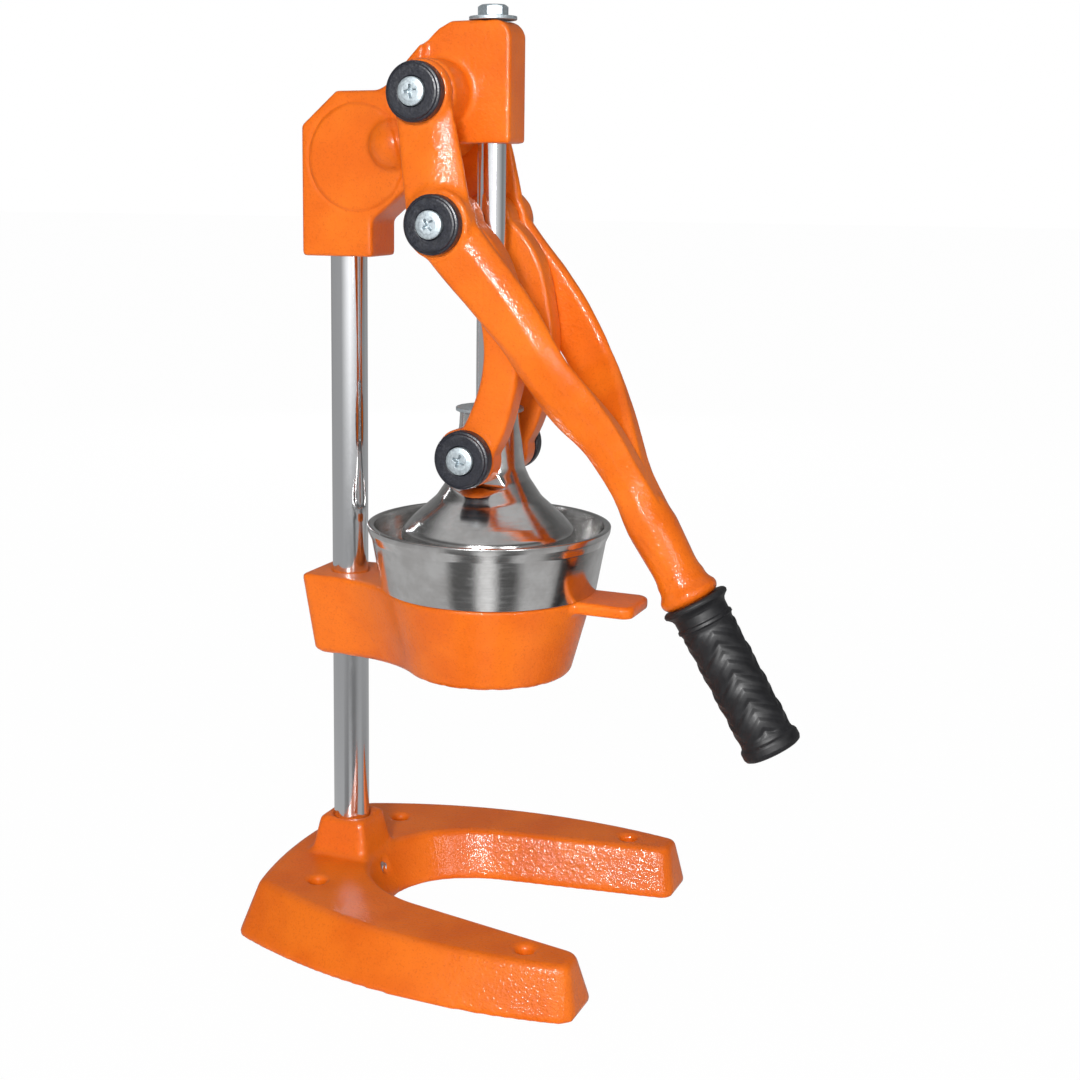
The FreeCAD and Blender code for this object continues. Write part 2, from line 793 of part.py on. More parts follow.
def neck_disc():
    body = new_body("neck_disc", "rod_reach", 0, "neck_top")
    disc = circles(
        body, "disc", "XY_Plane", [(0, 0, "2 * neck_disc_radius"), (0, 0, "rod_dia + 2 * snug_gap")]
    )
    slab(body, "plate", disc, "neck_disc_thick")
    for side, role in ((1, "near"), (-1, "far")):
        strip = outline(
            body,
            f"{role}_strip",
            "YZ_Plane",
            [
                (f"{side} * (link_inner - side_gap)", -1),
                (f"{side} * (link_inner + neck_disc_radius)", -1),
                (f"{side} * (link_inner + neck_disc_radius)", "neck_disc_thick + 1"),
                (f"{side} * (link_inner - side_gap)", "neck_disc_thick + 1"),
            ],
        )
        slab(body, f"{role}_side", strip, "4 * neck_disc_radius", midplane=True, cut=True)


def head_casting():
    body = new_body("head_casting")
    spine = outline(
        body,
        "spine_outline",
        "XZ_Plane",
        [
            ("-head_back", "head_bottom"),
            ("head_front", "head_bottom"),
            ("head_front", "head_step"),
            ("nose_back - 2", "nose_bottom - 3"),
            ("nose_back", "nose_bottom"),
            ("nose_front", "nose_bottom"),
            ("nose_front", "head_top - 9", 9),
            ("nose_front - 9", "head_top"),
            ("head_pivot_x + 5", "head_top"),
            ("head_pivot_x - 2", "head_top - 3.5"),
            ("head_back + 10", "head_shoulder + 5", -12),
            ("head_back + 1", "head_shoulder"),
            ("head_chamfer - head_back", "head_shoulder"),
            ("-head_back", "head_shoulder - 0.85 * head_chamfer"),
        ],
    )
    slab(body, "spine", spine, "2 * nose_half", midplane=True)
    block = outline(
        body,
        "block_outline",
        "XZ_Plane",
        [
            ("-head_back", "head_bottom"),
            ("head_front", "head_bottom"),
            ("head_front", "head_step"),
            ("head_pivot_x - 12", "head_step + 21"),
            ("head_pivot_x - 8", "head_shoulder + 24"),
            ("head_back + 10", "head_shoulder + 5", -12),
            ("head_back + 1", "head_shoulder"),
            ("head_chamfer - head_back", "head_shoulder"),
            ("-head_back", "head_shoulder - 0.85 * head_chamfer"),
        ],
    )
    slab(body, "block", block, "2 * head_half", midplane=True)
    barrel = circles(
        body, "barrel", "XZ_Plane", [("head_pivot_x", "head_pivot_z", "2 * head_boss_radius")]
    )
    slab(body, "hinge_barrel", barrel, "2 * (fork_inner - side_gap)", midplane=True)
    medal = circles(body, "medal", "XZ_Plane", [("medal_x", "medal_z", "2 * medal_radius")])
    slab(body, "side_medals", medal, "2 * (head_half + medal_rise)", midplane=True)
    for side, role in ((-1, "left"), (1, "right")):
        ball = body.newObject("PartDesign::AdditiveSphere", f"{role}_dome")
        ball.setExpression(
            "Radius", bound("(pow(dome_radius; 2) + pow(dome_rise; 2)) / (2 * dome_rise)")
        )
        ball.AttachmentSupport = [(plane(body, "XZ_Plane"), "")]
        ball.MapMode = "FlatFace"
        sink = "(pow(dome_radius; 2) - pow(dome_rise; 2)) / (2 * dome_rise)"
        ball.setExpression("AttachmentOffset.Base.x", bound("dome_x"))
        ball.setExpression("AttachmentOffset.Base.y", bound("dome_z"))
        ball.setExpression(
            "AttachmentOffset.Base.z", bound(f"{-side} * (head_half - {sink})")
        )
        doc.recompute()
    socket = circles(body, "socket", "XY_Plane", [(0, 0, "column_dia + 2 * snug_gap")], "head_bottom - 1")
    slab(body, "column_socket", socket, "column_top + 1 - head_bottom + 0.5", cut=True, flip=True)
    guide = circles(body, "guide", "XY_Plane", [("rod_reach", 0, "rod_dia + 2 * running_gap")])
    slab(body, "rod_guide", guide, "2 * head_top", cut=True, flip=True)
    tapped = circles(
        body, "tapped", "XZ_Plane",
        [("head_pivot_x", "head_pivot_z", "screw_dia + 2 * snug_gap")],
    )
    slab(body, "tapped_hole", tapped, "2 * fork_inner + 2", midplane=True, cut=True)
    grub = circles(
        body, "grub", "YZ_Plane", [(0, "head_bottom + 14", "grub_dia + 2 * snug_gap")]
    )
    slab(body, "grub_hole", grub, "head_back + 1", cut=True)


def pivot(label, x, z, seat, inner, reach, side):
    """A plastic cap on a sleeve, and the screw that holds it.

    seat is where the cap's flange starts, inner is where the sleeve starts and reach is
    how far in the screw ends, each as a distance from the middle plane.
    """
    turn = Rotation(Vector(1, 0, 0), 90 if side == "left" else -90)
    body = new_body(f"{label}_cap_{side}", x, 0, z, turn)
    outer = f"({seat} + cap_thick)"
    profile = outline(
        body,
        "profile",
        "XZ_Plane",
        [
            ("screw_dia / 2 + snug_gap", inner),
            ("sleeve_dia / 2", inner),
            ("sleeve_dia / 2", seat),
            ("cap_dia / 2", seat),
            ("cap_dia / 2", f"{outer} - cap_chamfer"),
            ("cap_dia / 2 - cap_chamfer", outer),
            ("cap_sink_dia / 2", outer),
            ("cap_sink_dia / 2", f"{outer} - cap_sink_depth"),
            ("screw_dia / 2 + snug_gap", f"{outer} - cap_sink_depth"),
        ],
    )
    turned(body, "cap", profile)
    screw = new_body(f"{label}_screw_{side}", x, 0, z, turn)
    under = f"({outer} - cap_sink_depth)"
    dome = "1.6"
    profile = outline(
        screw,
        "profile",
        "XZ_Plane",
        [
            (0, reach),
            ("screw_dia / 2 - 0.8", reach),
            ("screw_dia / 2", f"{reach} + 0.8"),
            ("screw_dia / 2", under),
            ("screw_head_dia / 2", under),
            ("screw_head_dia / 2", f"{under} + screw_head_thick - {dome}", "screw_head_dia * 1.1"),
            (0, f"{under} + screw_head_thick"),
        ],
    )
    turned(screw, "screw", profile)
    top = f"({under} + screw_head_thick)"
    cross = outline(
        screw,
        "recess_outline",
        "XY_Plane",
        [
            ("-0.9", "-3.1"), ("0.9", "-3.1"), ("0.9", "-0.9"), ("3.1", "-0.9"),
            ("3.1", "0.9"), ("0.9", "0.9"), ("0.9", "3.1"), ("-0.9", "3.1"),
            ("-0.9", "0.9"), ("-3.1", "0.9"), ("-3.1", "-0.9"), ("-0.9", "-0.9"),
        ],
        f"{top} + 1",
    )
    slab(screw, "cross_recess", cross, "3.6", cut=True)


def pivots():
    for side in ("left", "right"):
        pivot(
            "head_pivot", "head_pivot_x", "head_pivot_z",
            "(fork_inner + head_eye_thick + side_gap)", "(fork_inner - side_gap)",
            "(fork_inner - side_gap - screw_grip)", side,
        )
        pivot(
            "link_pivot", "link_pivot_x", "link_pivot_z",
            "(fork_inner + link_eye_pad_thick)", "fork_inner", "fork_inner", side,
        )
        pivot(
            "plunger_pivot", "rod_reach", "plunger_pivot_z",
            "(link_inner + link_thick + side_gap)", "neck_flat_half",
            "(neck_flat_half - screw_grip)", side,
        )


def link(side):
    """A bowed link between the lever and the bell's neck, in the link's own plane."""
    sign = -1 if side == "left" else 1
    body = new_body(f"link_{side}")
    dx = number("link_pivot_x - rod_reach")
    dz = number("link_pivot_z - plunger_pivot_z")
    span = math.hypot(dx, dz)
    bow = number("link_bow_radius")
    middle = Vector(number("rod_reach") + dx / 2, number("plunger_pivot_z") + dz / 2, 0)
    back = Vector(-dz, dx, 0).normalize()
    centre = middle + back * math.sqrt(bow * bow - span * span / 4)
    top = Vector(number("link_pivot_x"), number("link_pivot_z"), 0)
    foot = Vector(number("rod_reach"), number("plunger_pivot_z"), 0)
    half = number("link_width") / 2

    def beside(point, offset):
        out = (point - centre).normalize()
        spot = centre + out * (bow + offset)
        return spot.x, spot.y

    corners = [
        (*beside(foot, half), bow + half),
        (*beside(top, half),),
        (*beside(top, -half), -(bow - half)),
        (*beside(foot, -half),),
    ]
    band = outline(body, "band_outline", "XZ_Plane", corners, f"{-sign} * link_inner")
    slab(body, "band", band, "link_thick", flip=sign > 0)
    lift = f"{-sign} * link_inner"
    eyes = circles(
        body, "eyes", "XZ_Plane",
        [
            ("link_pivot_x", "link_pivot_z", "2 * link_eye_radius"),
            ("rod_reach", "plunger_pivot_z", "2 * link_eye_radius"),
        ],
        lift,
    )
    slab(body, "end_eyes", eyes, "link_thick", flip=sign > 0)
    outer = number("link_inner + link_thick")
    names = edges(body, lambda e: abs(e.BoundBox.YMin - sign * outer) < 0.01
                  and abs(e.BoundBox.YMax - sign * outer) < 0.01)
    rounded(body, "outer_rounds", names, "link_round")
    holes = circles(
        body, "holes", "XZ_Plane",
        [
            ("link_pivot_x", "link_pivot_z", "screw_dia + 2 * snug_gap"),
            ("rod_reach", "plunger_pivot_z", "sleeve_dia + 2 * running_gap"),
        ],
    )
    slab(body, "pivot_holes", holes, "4 * link_inner + 4 * link_thick", midplane=True, cut=True)


def arm_stations():
    """Stations of one fork arm, as a web from eye to eye and an arm from there to the shank.

    Each has its place in the side view, its width there, its corner radius, its inner and
    outer distance from the middle plane, and how deep and how wide its front facet is.
    """
    inner = number("fork_inner")
    head = inner + number("head_eye_thick")
    pad = inner + number("link_eye_pad_thick")
    px, pz = number("head_pivot_x"), number("head_pivot_z")
    mx, mz = number("link_pivot_x"), number("link_pivot_z")
    sx, sz = number("shank_x"), number("shank_z")
    lean = math.radians(number("shank_lean"))
    shank = number("shank_radius")

    def along(distance):
        return sx + distance * math.sin(lean), sz - distance * math.cos(lean)

    def between(share, lateral=0.0):
        """A spot part of the way from the link eye to the top of the shank."""
        ex, ez = along(-22)
        ux, uz = ex - mx, ez - mz
        size = math.hypot(ux, uz)
        return mx + share * ux - lateral * uz / size, mz + share * uz + lateral * ux / size

    def in_web(share):
        return px + share * (mx - px), pz + share * (mz - pz)

    cap_reach = (number("cap_dia") / 2 + 1.5) / math.hypot(mx - px, mz - pz)
    web = [
        (in_web(0), 29.4, 2.6, inner + 0.3, head - 0.3, 2.6, 5.0),
        (in_web(cap_reach), 30.0, 2.6, inner + 0.3, head - 0.3, 3.6, 12.0),
        (in_web(0.6), 31.0, 2.6, inner + 0.3, (head + pad) / 2, 5.2, 15.0),
        (in_web(1), 31.6, 2.6, inner + 0.3, pad - 0.5, 6.4, 16.0),
    ]
    arm = smoothed([
        ((mx, mz), 30.0, 3.2, inner, pad - 0.6, 5.0, 10.0),
        (between(0.24, 2.0), 27.5, 3.6, inner, pad - 0.6, 5.5, 9.0),
        (between(0.42, 1.5), 25.0, 4.0, inner, pad - 1.8, 5.5, 8.5),
        (between(0.56, 1.0), 23.5, 4.4, inner, pad - 3.0, 5.5, 8.0),
        (between(0.68, 1.0), 22.0, 5.0, inner - 9.0, pad - 5.2, 6.0, 8.0),
        (between(0.79, 0.5), 20.5, 6.0, inner - 22.5, pad - 11.0, 6.0, 8.0),
        (between(0.91), 18.5, 6.0, -4.0, shank + 9.0, 6.0, 7.5),
        (between(1.0), 19.5, 6.5, -6.0, shank + 3.4, 7.0, 7.5),
        (along(-6), 22.5, 8.0, -9.0, shank - 0.2, 8.0, 8.5),
    ])
    return web, arm


def smoothed(stations):
    """Adds a station half-way between each two, on the curve through their neighbours."""
    rows = [(*spot, *rest) for spot, *rest in stations]
    dense = [rows[0]]
    for i, (start, end) in enumerate(zip(rows, rows[1:])):
        before = rows[max(i - 1, 0)]
        after = rows[min(i + 2, len(rows) - 1)]
        middle = [
            (9 * (a + b) - p - n) / 16 for p, a, b, n in zip(before, start, end, after)
        ]
        dense += [middle, end]
    return [((row[0], row[1]), *row[2:]) for row in dense]


def section(body, name, place, width, corner, inner, outer, drop, run):
    """A rounded rectangle across the arm: width in the side view, inner to outer in depth.

    Its front outer corner is a facet, slightly crowned, drop deep and run wide.
    """
    half = width / 2
    r = corner
    crown = 2.2 * math.hypot(drop, run)
    corners = [
        (inner + r, -half), (outer - drop, -half, crown),
        (outer, -half + run), (outer, half - r, r),
        (outer - r, half), (inner + r, half, r),
        (inner, half - r), (inner, -half + r, r),
    ]
    return outline(body, name, "XY_Plane", corners, place)


def across(x, z, dx, dz):
    """A plane through x, z square to a direction of the side view: its x axis is -Y."""
    size = math.hypot(dx, dz)
    normal = Vector(dx / size, 0, dz / size)
    first = Vector(0, -1, 0)
    second = normal.cross(first)
    return Placement(Vector(x, 0, z), Rotation(first, second, normal, "ZXY"))


def lever_fork():
    body = new_body("lever_fork")
    for name, stations in zip(("left_web", "left_arm"), arm_stations(), strict=True):
        sketches = []
        for i, (spot, *shape) in enumerate(stations):
            before = stations[max(i - 1, 0)][0]
            after = stations[min(i + 1, len(stations) - 1)][0]
            place = across(*spot, after[0] - before[0], after[1] - before[1])
            sketches.append(section(body, f"{name}_{i}", place, *shape))
        lofted(body, name, sketches, ruled=True)
    for name, x, z, radius, thick in (
        ("head_eye", "head_pivot_x", "head_pivot_z", "head_eye_radius", "head_eye_thick"),
        ("link_eye", "link_pivot_x", "link_pivot_z", "link_eye_pad_radius", "link_eye_pad_thick"),
    ):
        disc = circles(body, f"{name}_round", "XZ_Plane", [(x, z, f"2 * {radius}")], "fork_inner")
        slab(body, name, disc, thick)
    arm = [body.getObject(name) for name in ("left_web", "left_arm", "head_eye", "link_eye")]
    mirror = body.newObject("PartDesign::Mirrored", "right_arm")
    mirror.Originals = arm
    mirror.MirrorPlane = (plane(body, "XZ_Plane"), [""])
    body.Tip = mirror
    doc.recompute()
    lean = number("shank_lean")
    along = Rotation(Vector(0, 1, 0), 180 - lean)
    place = Placement(Vector(number("shank_x"), 0, number("shank_z")), along)
    profile = outline(
        body,
        "shank_profile",
        "XY_Plane",
        [
            (0, -34),
            ("shank_radius - 4.5", -34, -20),
            ("shank_radius - 0.6", -12, -60),
            ("shank_radius", "collar_along - 3", -6),
            ("collar_radius", "collar_along + 3", 4),
            ("collar_radius - 2.2", "collar_along + collar_length"),
            ("tang_dia / 2", "collar_along + collar_length"),
            ("tang_dia / 2", "collar_along + collar_length + tang_length - 1"),
            ("tang_dia / 2 - 1", "collar_along + collar_length + tang_length"),
            (0, "collar_along + collar_length + tang_length"),
        ],
        place * Placement(Vector(), Rotation(Vector(1, 0, 0), 90)),
    )
    turned(body, "shank", profile)
    holes = circles(
        body, "holes", "XZ_Plane",
        [
            ("head_pivot_x", "head_pivot_z", "sleeve_dia + 2 * running_gap"),
            ("link_pivot_x", "link_pivot_z", "sleeve_dia + 2 * snug_gap"),
        ],
    )
    slab(body, "pivot_holes", holes, "4 * fork_inner", midplane=True, cut=True)


def grip_sleeve():
    """The rubber grip, pushed over the lever's tang. Its frame's Z runs down the handle."""
    lean = number("shank_lean")
    start = "(collar_along + collar_length)"
    body = new_body(
        "grip_sleeve",
        f"shank_x + {start} * sin(shank_lean)",
        0,
        f"shank_z - {start} * cos(shank_lean)",
        Rotation(Vector(0, 1, 0), 180 - lean),
    )
    profile = outline(
        body,
        "profile",
        "XZ_Plane",
        [
            ("tang_dia / 2 + snug_gap", 0),
            ("grip_flange_radius - 1.2", 0, 1.4),
            ("grip_flange_radius - 0.6", "grip_flange_thick - 0.8", 1.2),
            ("grip_radius + 0.6", "grip_flange_thick + 0.6"),
            ("grip_radius - 0.5", "grip_flange_thick + 2.4"),
            ("grip_radius - 0.5", 10),
            ("grip_radius + 0.4", 11),
            ("grip_radius + 0.4", 12.4),
            ("grip_radius", 13.4),
            ("grip_radius", "grip_length - grip_end_length - 1.5"),
            ("grip_end_radius", "grip_length - grip_end_length"),
            ("grip_end_radius", "grip_length - 2.5", 2.5),
            ("grip_end_radius - 2.5", "grip_length"),
            (0, "grip_length"),
            (0, "tang_length + 0.5"),
            ("tang_dia / 2 + snug_gap", "tang_length + 0.5"),
        ],
    )
    turned(body, "sleeve", profile)


base_casting()
grub_screw("base_set_screw", "column_dia / 2", "grub_height",
           Rotation(Vector(0, 1, 0), 90), "base_grub_length")
column()
cup_holder()
grub_screw("holder_set_screw", "-column_dia / 2", "(holder_top + holder_bottom) / 2",
           Rotation(Vector(0, 1, 0), -90), "holder_grub_length")
juice_cup()
strainer_cone()
press_bell()
plunger_rod()
rod_top_washer()
rod_top_bolt()
neck_disc()
head_casting()
grub_screw("head_set_screw", "-column_dia / 2", "head_bottom + 14",
           Rotation(Vector(0, 1, 0), -90), "head_grub_length")
pivots()
link("left")
link("right")
lever_fork()
grip_sleeve()

doc.recompute()
for thing in doc.Objects:
    if "Invalid" in thing.State or "Error" in thing.State:
        raise RuntimeError(f"{thing.Name} failed: {thing.State}")
for body in bodies:
    shape = body.Shape
    if shape.isNull() or not shape.isValid() or not shape.Solids:
        raise RuntimeError(f"{body.Label} has no valid solid")

os.makedirs("parts", exist_ok=True)
for body in bodies:
    body.Shape.exportStep(f"parts/{body.Label}.step")
    print(body.Label, len(body.Shape.Solids), round(body.Shape.Volume / 1000, 2), "ml")
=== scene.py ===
import json
import math

import bpy
import numpy as np
from mathutils import Matrix, Vector


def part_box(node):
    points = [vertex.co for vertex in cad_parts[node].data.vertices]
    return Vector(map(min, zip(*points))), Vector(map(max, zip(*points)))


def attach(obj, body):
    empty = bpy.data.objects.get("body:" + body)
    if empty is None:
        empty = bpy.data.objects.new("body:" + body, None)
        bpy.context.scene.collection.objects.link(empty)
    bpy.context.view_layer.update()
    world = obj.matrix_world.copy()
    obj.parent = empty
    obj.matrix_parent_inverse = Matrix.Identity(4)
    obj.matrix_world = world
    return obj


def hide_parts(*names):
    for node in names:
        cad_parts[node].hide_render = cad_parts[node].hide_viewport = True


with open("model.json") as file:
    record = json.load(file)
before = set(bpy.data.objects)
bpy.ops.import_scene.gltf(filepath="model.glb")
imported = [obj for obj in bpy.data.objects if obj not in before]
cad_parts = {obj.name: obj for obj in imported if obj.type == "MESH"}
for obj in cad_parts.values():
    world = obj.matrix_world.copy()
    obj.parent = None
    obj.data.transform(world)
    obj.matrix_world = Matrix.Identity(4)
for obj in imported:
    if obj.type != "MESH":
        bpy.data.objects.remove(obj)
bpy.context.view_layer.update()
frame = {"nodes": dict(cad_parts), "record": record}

# Lengths are in millimetres unless a name ends in _M, and MM turns them into metres
MM = 0.001
NODES = frame["nodes"]


def spot(node):
    """Lowest corner, highest corner and middle of a CAD node, in millimetres."""
    low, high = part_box(node)
    return low / MM, high / MM, (low + high) / 2 / MM


# 1. Camera
CAMERA_AT = (415.1, -780.2, 390.5)
CAMERA_AZIMUTH = 25.213
CAMERA_ELEVATION = 9.126
CAMERA_ROLL = 0.169
FRAME_PIXELS = 1080
FOCAL_PIXELS = 1695.8
FRAME_SHIFT = (0.10, -0.09)
SENSOR_WIDTH = 36.0


def make_camera():
    """The camera, with its place, turn, lens and shift."""
    data = bpy.data.cameras.new("photo_camera")
    data.sensor_width = SENSOR_WIDTH
    data.lens = FOCAL_PIXELS / FRAME_PIXELS * SENSOR_WIDTH
    data.shift_x, data.shift_y = FRAME_SHIFT
    data.clip_start = 0.01
    data.clip_end = 30.0
    azimuth, elevation = math.radians(CAMERA_AZIMUTH), math.radians(CAMERA_ELEVATION)
    back = Vector((
        math.sin(azimuth) * math.cos(elevation),
        -math.cos(azimuth) * math.cos(elevation),
        math.sin(elevation),
    ))
    right = Vector((0, 0, 1)).cross(back).normalized()
    up = back.cross(right)
    turn = math.radians(CAMERA_ROLL)
    side = math.cos(turn) * right + math.sin(turn) * up
    top = math.cos(turn) * up - math.sin(turn) * right
    camera = bpy.data.objects.new("photo_camera", data)
    place = Matrix((side, top, back)).transposed().to_4x4()
    place.translation = Vector(CAMERA_AT) * MM
    camera.matrix_world = place
    bpy.context.scene.collection.objects.link(camera)
    bpy.context.scene.camera = camera


# 2. Materials
class Shader:
    """A node material whose coordinates are the piece's own, in millimetres."""

    def __init__(self, name):
        self.material = bpy.data.materials.new(name)
        self.material.use_nodes = True
        self.tree = self.material.node_tree
        self.tree.nodes.clear()
        self.output = self.add("ShaderNodeOutputMaterial")
        self.surface = self.add("ShaderNodeBsdfPrincipled")
        self.link(self.surface, "BSDF", self.output, "Surface")
        place = self.add("ShaderNodeTexCoord")
        scale = self.add("ShaderNodeVectorMath", operation="SCALE")
        scale.inputs["Scale"].default_value = 1 / MM
        self.link(place, "Object", scale, 0)
        self.place = (scale, "Vector")

    def add(self, kind, **settings):
        node = self.tree.nodes.new(kind)
        for name, setting in settings.items():
            setattr(node, name, setting)
        return node

    def link(self, source, output, target, entry):
        self.tree.links.new(source.outputs[output], target.inputs[entry])

    def set(self, **values):
        """Sets sockets of the surface: coat_weight=0.3 sets Coat Weight."""
        for name, value in values.items():
            socket = name.replace("_", " ").title().replace("Ior", "IOR")
            self.surface.inputs[socket].default_value = value

    def stretched(self, stretch):
        """The piece's coordinates times a factor along each axis."""
        node = self.add("ShaderNodeVectorMath", operation="MULTIPLY")
        node.inputs[1].default_value = stretch
        self.link(*self.place, node, 0)
        return node

    def noise(self, size, detail=3.0, roughness=0.5, stretch=None):
        """Noise with features about size millimetres across."""
        node = self.add("ShaderNodeTexNoise")
        node.inputs["Scale"].default_value = 1 / size
        node.inputs["Detail"].default_value = detail
        node.inputs["Roughness"].default_value = roughness
        source = self.stretched(stretch) if stretch else self.place[0]
        self.link(source, "Vector", node, "Vector")
        return node, "Factor" if "Factor" in node.outputs else "Fac"

    def cells(self, size):
        """Rounded pits about size millimetres across."""
        node = self.add("ShaderNodeTexVoronoi")
        node.inputs["Scale"].default_value = 1 / size
        self.link(self.place[0], "Vector", node, "Vector")
        return node, "Distance"

    def ramp(self, source, stops):
        """Colours along a factor: stops are (position, (r, g, b))."""
        node = self.add("ShaderNodeValToRGB")
        node.color_ramp.interpolation = "EASE"
        while len(node.color_ramp.elements) < len(stops):
            node.color_ramp.elements.new(0.5)
        for element, (position, colour) in zip(node.color_ramp.elements, stops):
            element.position = position
            element.color = (*colour, 1.0)
        self.link(*source, node, "Fac")
        return node, "Color"

    def spread(self, source, low, high, to_low, to_high):
        """A factor mapped from one range onto another."""
        node = self.add("ShaderNodeMapRange")
        for entry, value in zip(range(1, 5), (low, high, to_low, to_high)):
            node.inputs[entry].default_value = value
        self.link(*source, node, 0)
        return node, "Result"

    def mixed(self, factor, first, second):
        """Two colours or sources mixed by a source or a number."""
        node = self.add("ShaderNodeMix", data_type="RGBA")
        for entry, value in ((0, factor), (6, first), (7, second)):
            if isinstance(value, tuple) and hasattr(value[0], "outputs"):
                self.link(*value, node, entry)
            else:
                node.inputs[entry].default_value = value
        return node, 2

    def colour(self, source):
        self.link(*source, self.surface, "Base Color")

    def roughness(self, source):
        self.link(*source, self.surface, "Roughness")

    def bump(self, *layers):
        """Stacks bumps: each layer is (source, height in millimetres)."""
        last = None
        for source, height in layers:
            node = self.add("ShaderNodeBump")
            node.inputs["Strength"].default_value = 1.0
            node.inputs["Distance"].default_value = height * MM
            self.link(*source, node, "Height")
            if last:
                self.link(last, "Normal", node, "Normal")
            last = node
        self.link(last, "Normal", self.surface, "Normal")
        self.link(last, "Normal", self.surface, "Coat Normal")


def orange_enamel():
    """Thick glossy enamel over sand-cast iron: lumps, orange peel and fine sparkle."""
    s = Shader("orange_enamel")
    s.set(roughness=0.42, coat_weight=0.55, coat_roughness=0.05, specular_ior_level=0.10)
    cloud = s.ramp(s.noise(30.0, 2.0), [
        (0.32, (0.79, 0.142, 0.005)),
        (0.68, (0.88, 0.180, 0.008)),
    ])
    speck = s.spread(s.noise(1.1, 2.0, 0.6), 0.54, 0.72, 0.0, 0.30)
    tone = s.mixed(speck, cloud, (0.50, 0.060, 0.002, 1.0))
    s.colour(tone)
    s.bump(
        (s.noise(9.0, 2.0, 0.5), 0.20),
        (s.noise(2.1, 2.0, 0.55), 0.25),
        (s.noise(1.1, 2.0, 0.6), 0.17),
    )
    return s.material


def chromed_bar():
    """Hard chrome with faint lengthwise polish and a little haze."""
    s = Shader("chromed_bar")
    s.set(metallic=1.0, base_color=(0.80, 0.81, 0.83, 1.0))
    haze = s.noise(6.0, 3.0, 0.6, stretch=(1.0, 1.0, 0.25))
    s.roughness(s.spread(haze, 0.3, 0.75, 0.05, 0.16))
    s.bump((s.noise(1.6, 3.0, 0.6, stretch=(1.0, 1.0, 0.35)), 0.014),)
    return s.material


def polished_aluminium():
    """Turned and polished aluminium with rings round its axis and fine scratches."""
    s = Shader("polished_aluminium")
    s.set(metallic=1.0)
    rings = s.noise(0.9, 3.0, 0.6, stretch=(0.03, 0.03, 1.0))
    cloud = s.noise(16.0, 3.0, 0.6)
    s.colour(s.ramp(cloud, [(0.3, (0.60, 0.59, 0.58)), (0.7, (0.76, 0.755, 0.75))]))
    scratch = s.noise(1.5, 4.0, 0.7, stretch=(0.10, 0.10, 1.6))
    s.roughness(s.spread(scratch, 0.35, 0.8, 0.10, 0.27))
    s.bump((rings, 0.012), (s.noise(3.2, 3.0, 0.6), 0.02))
    return s.material


def zinc_steel():
    """Bluish zinc plate, slightly mottled."""
    s = Shader("zinc_steel")
    s.set(metallic=0.75)
    mottle = s.noise(1.1, 3.0, 0.6)
    s.colour(s.ramp(mottle, [(0.35, (0.36, 0.41, 0.44)), (0.7, (0.50, 0.56, 0.59))]))
    s.roughness(s.spread(mottle, 0.3, 0.7, 0.46, 0.60))
    s.bump((s.noise(0.5, 2.0), 0.01),)
    return s.material


def black_nylon():
    """Moulded nylon: charcoal, slightly pitted, with a satin skin."""
    s = Shader("black_nylon")
    s.set(specular_ior_level=0.5)
    pits = s.cells(1.1)
    grain = s.noise(0.8, 3.0, 0.6)
    s.colour(s.ramp(grain, [(0.35, (0.009, 0.010, 0.016)), (0.75, (0.028, 0.031, 0.045))]))
    s.roughness(s.spread(s.noise(2.0, 3.0), 0.3, 0.7, 0.30, 0.48))
    s.bump((pits, 0.07), (grain, 0.06))
    return s.material


def black_rubber():
    """Matt rubber with a faint bloom."""
    s = Shader("black_rubber")
    s.set(specular_ior_level=0.45)
    bloom = s.noise(9.0, 3.0, 0.6)
    s.colour(s.ramp(bloom, [(0.3, (0.005, 0.005, 0.0065)), (0.75, (0.011, 0.011, 0.013))]))
    s.roughness(s.spread(s.noise(3.0, 3.0), 0.3, 0.7, 0.42, 0.60))
    s.bump((s.noise(0.35, 2.0, 0.6), 0.02),)
    return s.material


MATERIALS = {
    "orange_enamel": orange_enamel(),
    "chromed_bar": chromed_bar(),
    "polished_aluminium": polished_aluminium(),
    "zinc_steel": zinc_steel(),
    "black_nylon": black_nylon(),
    "black_rubber": black_rubber(),
}
SLOT_OF = {p["node"]: p["material_slot"] for p in frame["record"]["subparts"]}
BODY_OF = {
    node: body
    for body, members in frame["record"]["behaviour"]["bodies"].items()
    for node in members
}


def paint_carried_nodes():
    """Every CAD node gets its slot's material, also where a piece stands for it."""
    for name, node in NODES.items():
        node.data.materials.clear()
        node.data.materials.append(MATERIALS[SLOT_OF[name]])


def dress(piece, node, *others):
    """A new piece stands for a CAD node, and takes its body, slot and material."""
    piece.data.materials.clear()
    piece.data.materials.append(MATERIALS[SLOT_OF[node]])
    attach(piece, BODY_OF[node])
    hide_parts(node, *others)
    return piece


# 3. Mesh helpers
def piece_from(name, points, faces):
    """An object from points in millimetres."""
    mesh = bpy.data.meshes.new(name)
    mesh.from_pydata([tuple(float(c) * MM for c in p) for p in points], [], faces)
    mesh.validate()
    for face in mesh.polygons:
        face.use_smooth = True
    piece = bpy.data.objects.new(name, mesh)
    bpy.context.scene.collection.objects.link(piece)
    return piece


ON_AXIS = 1e-6


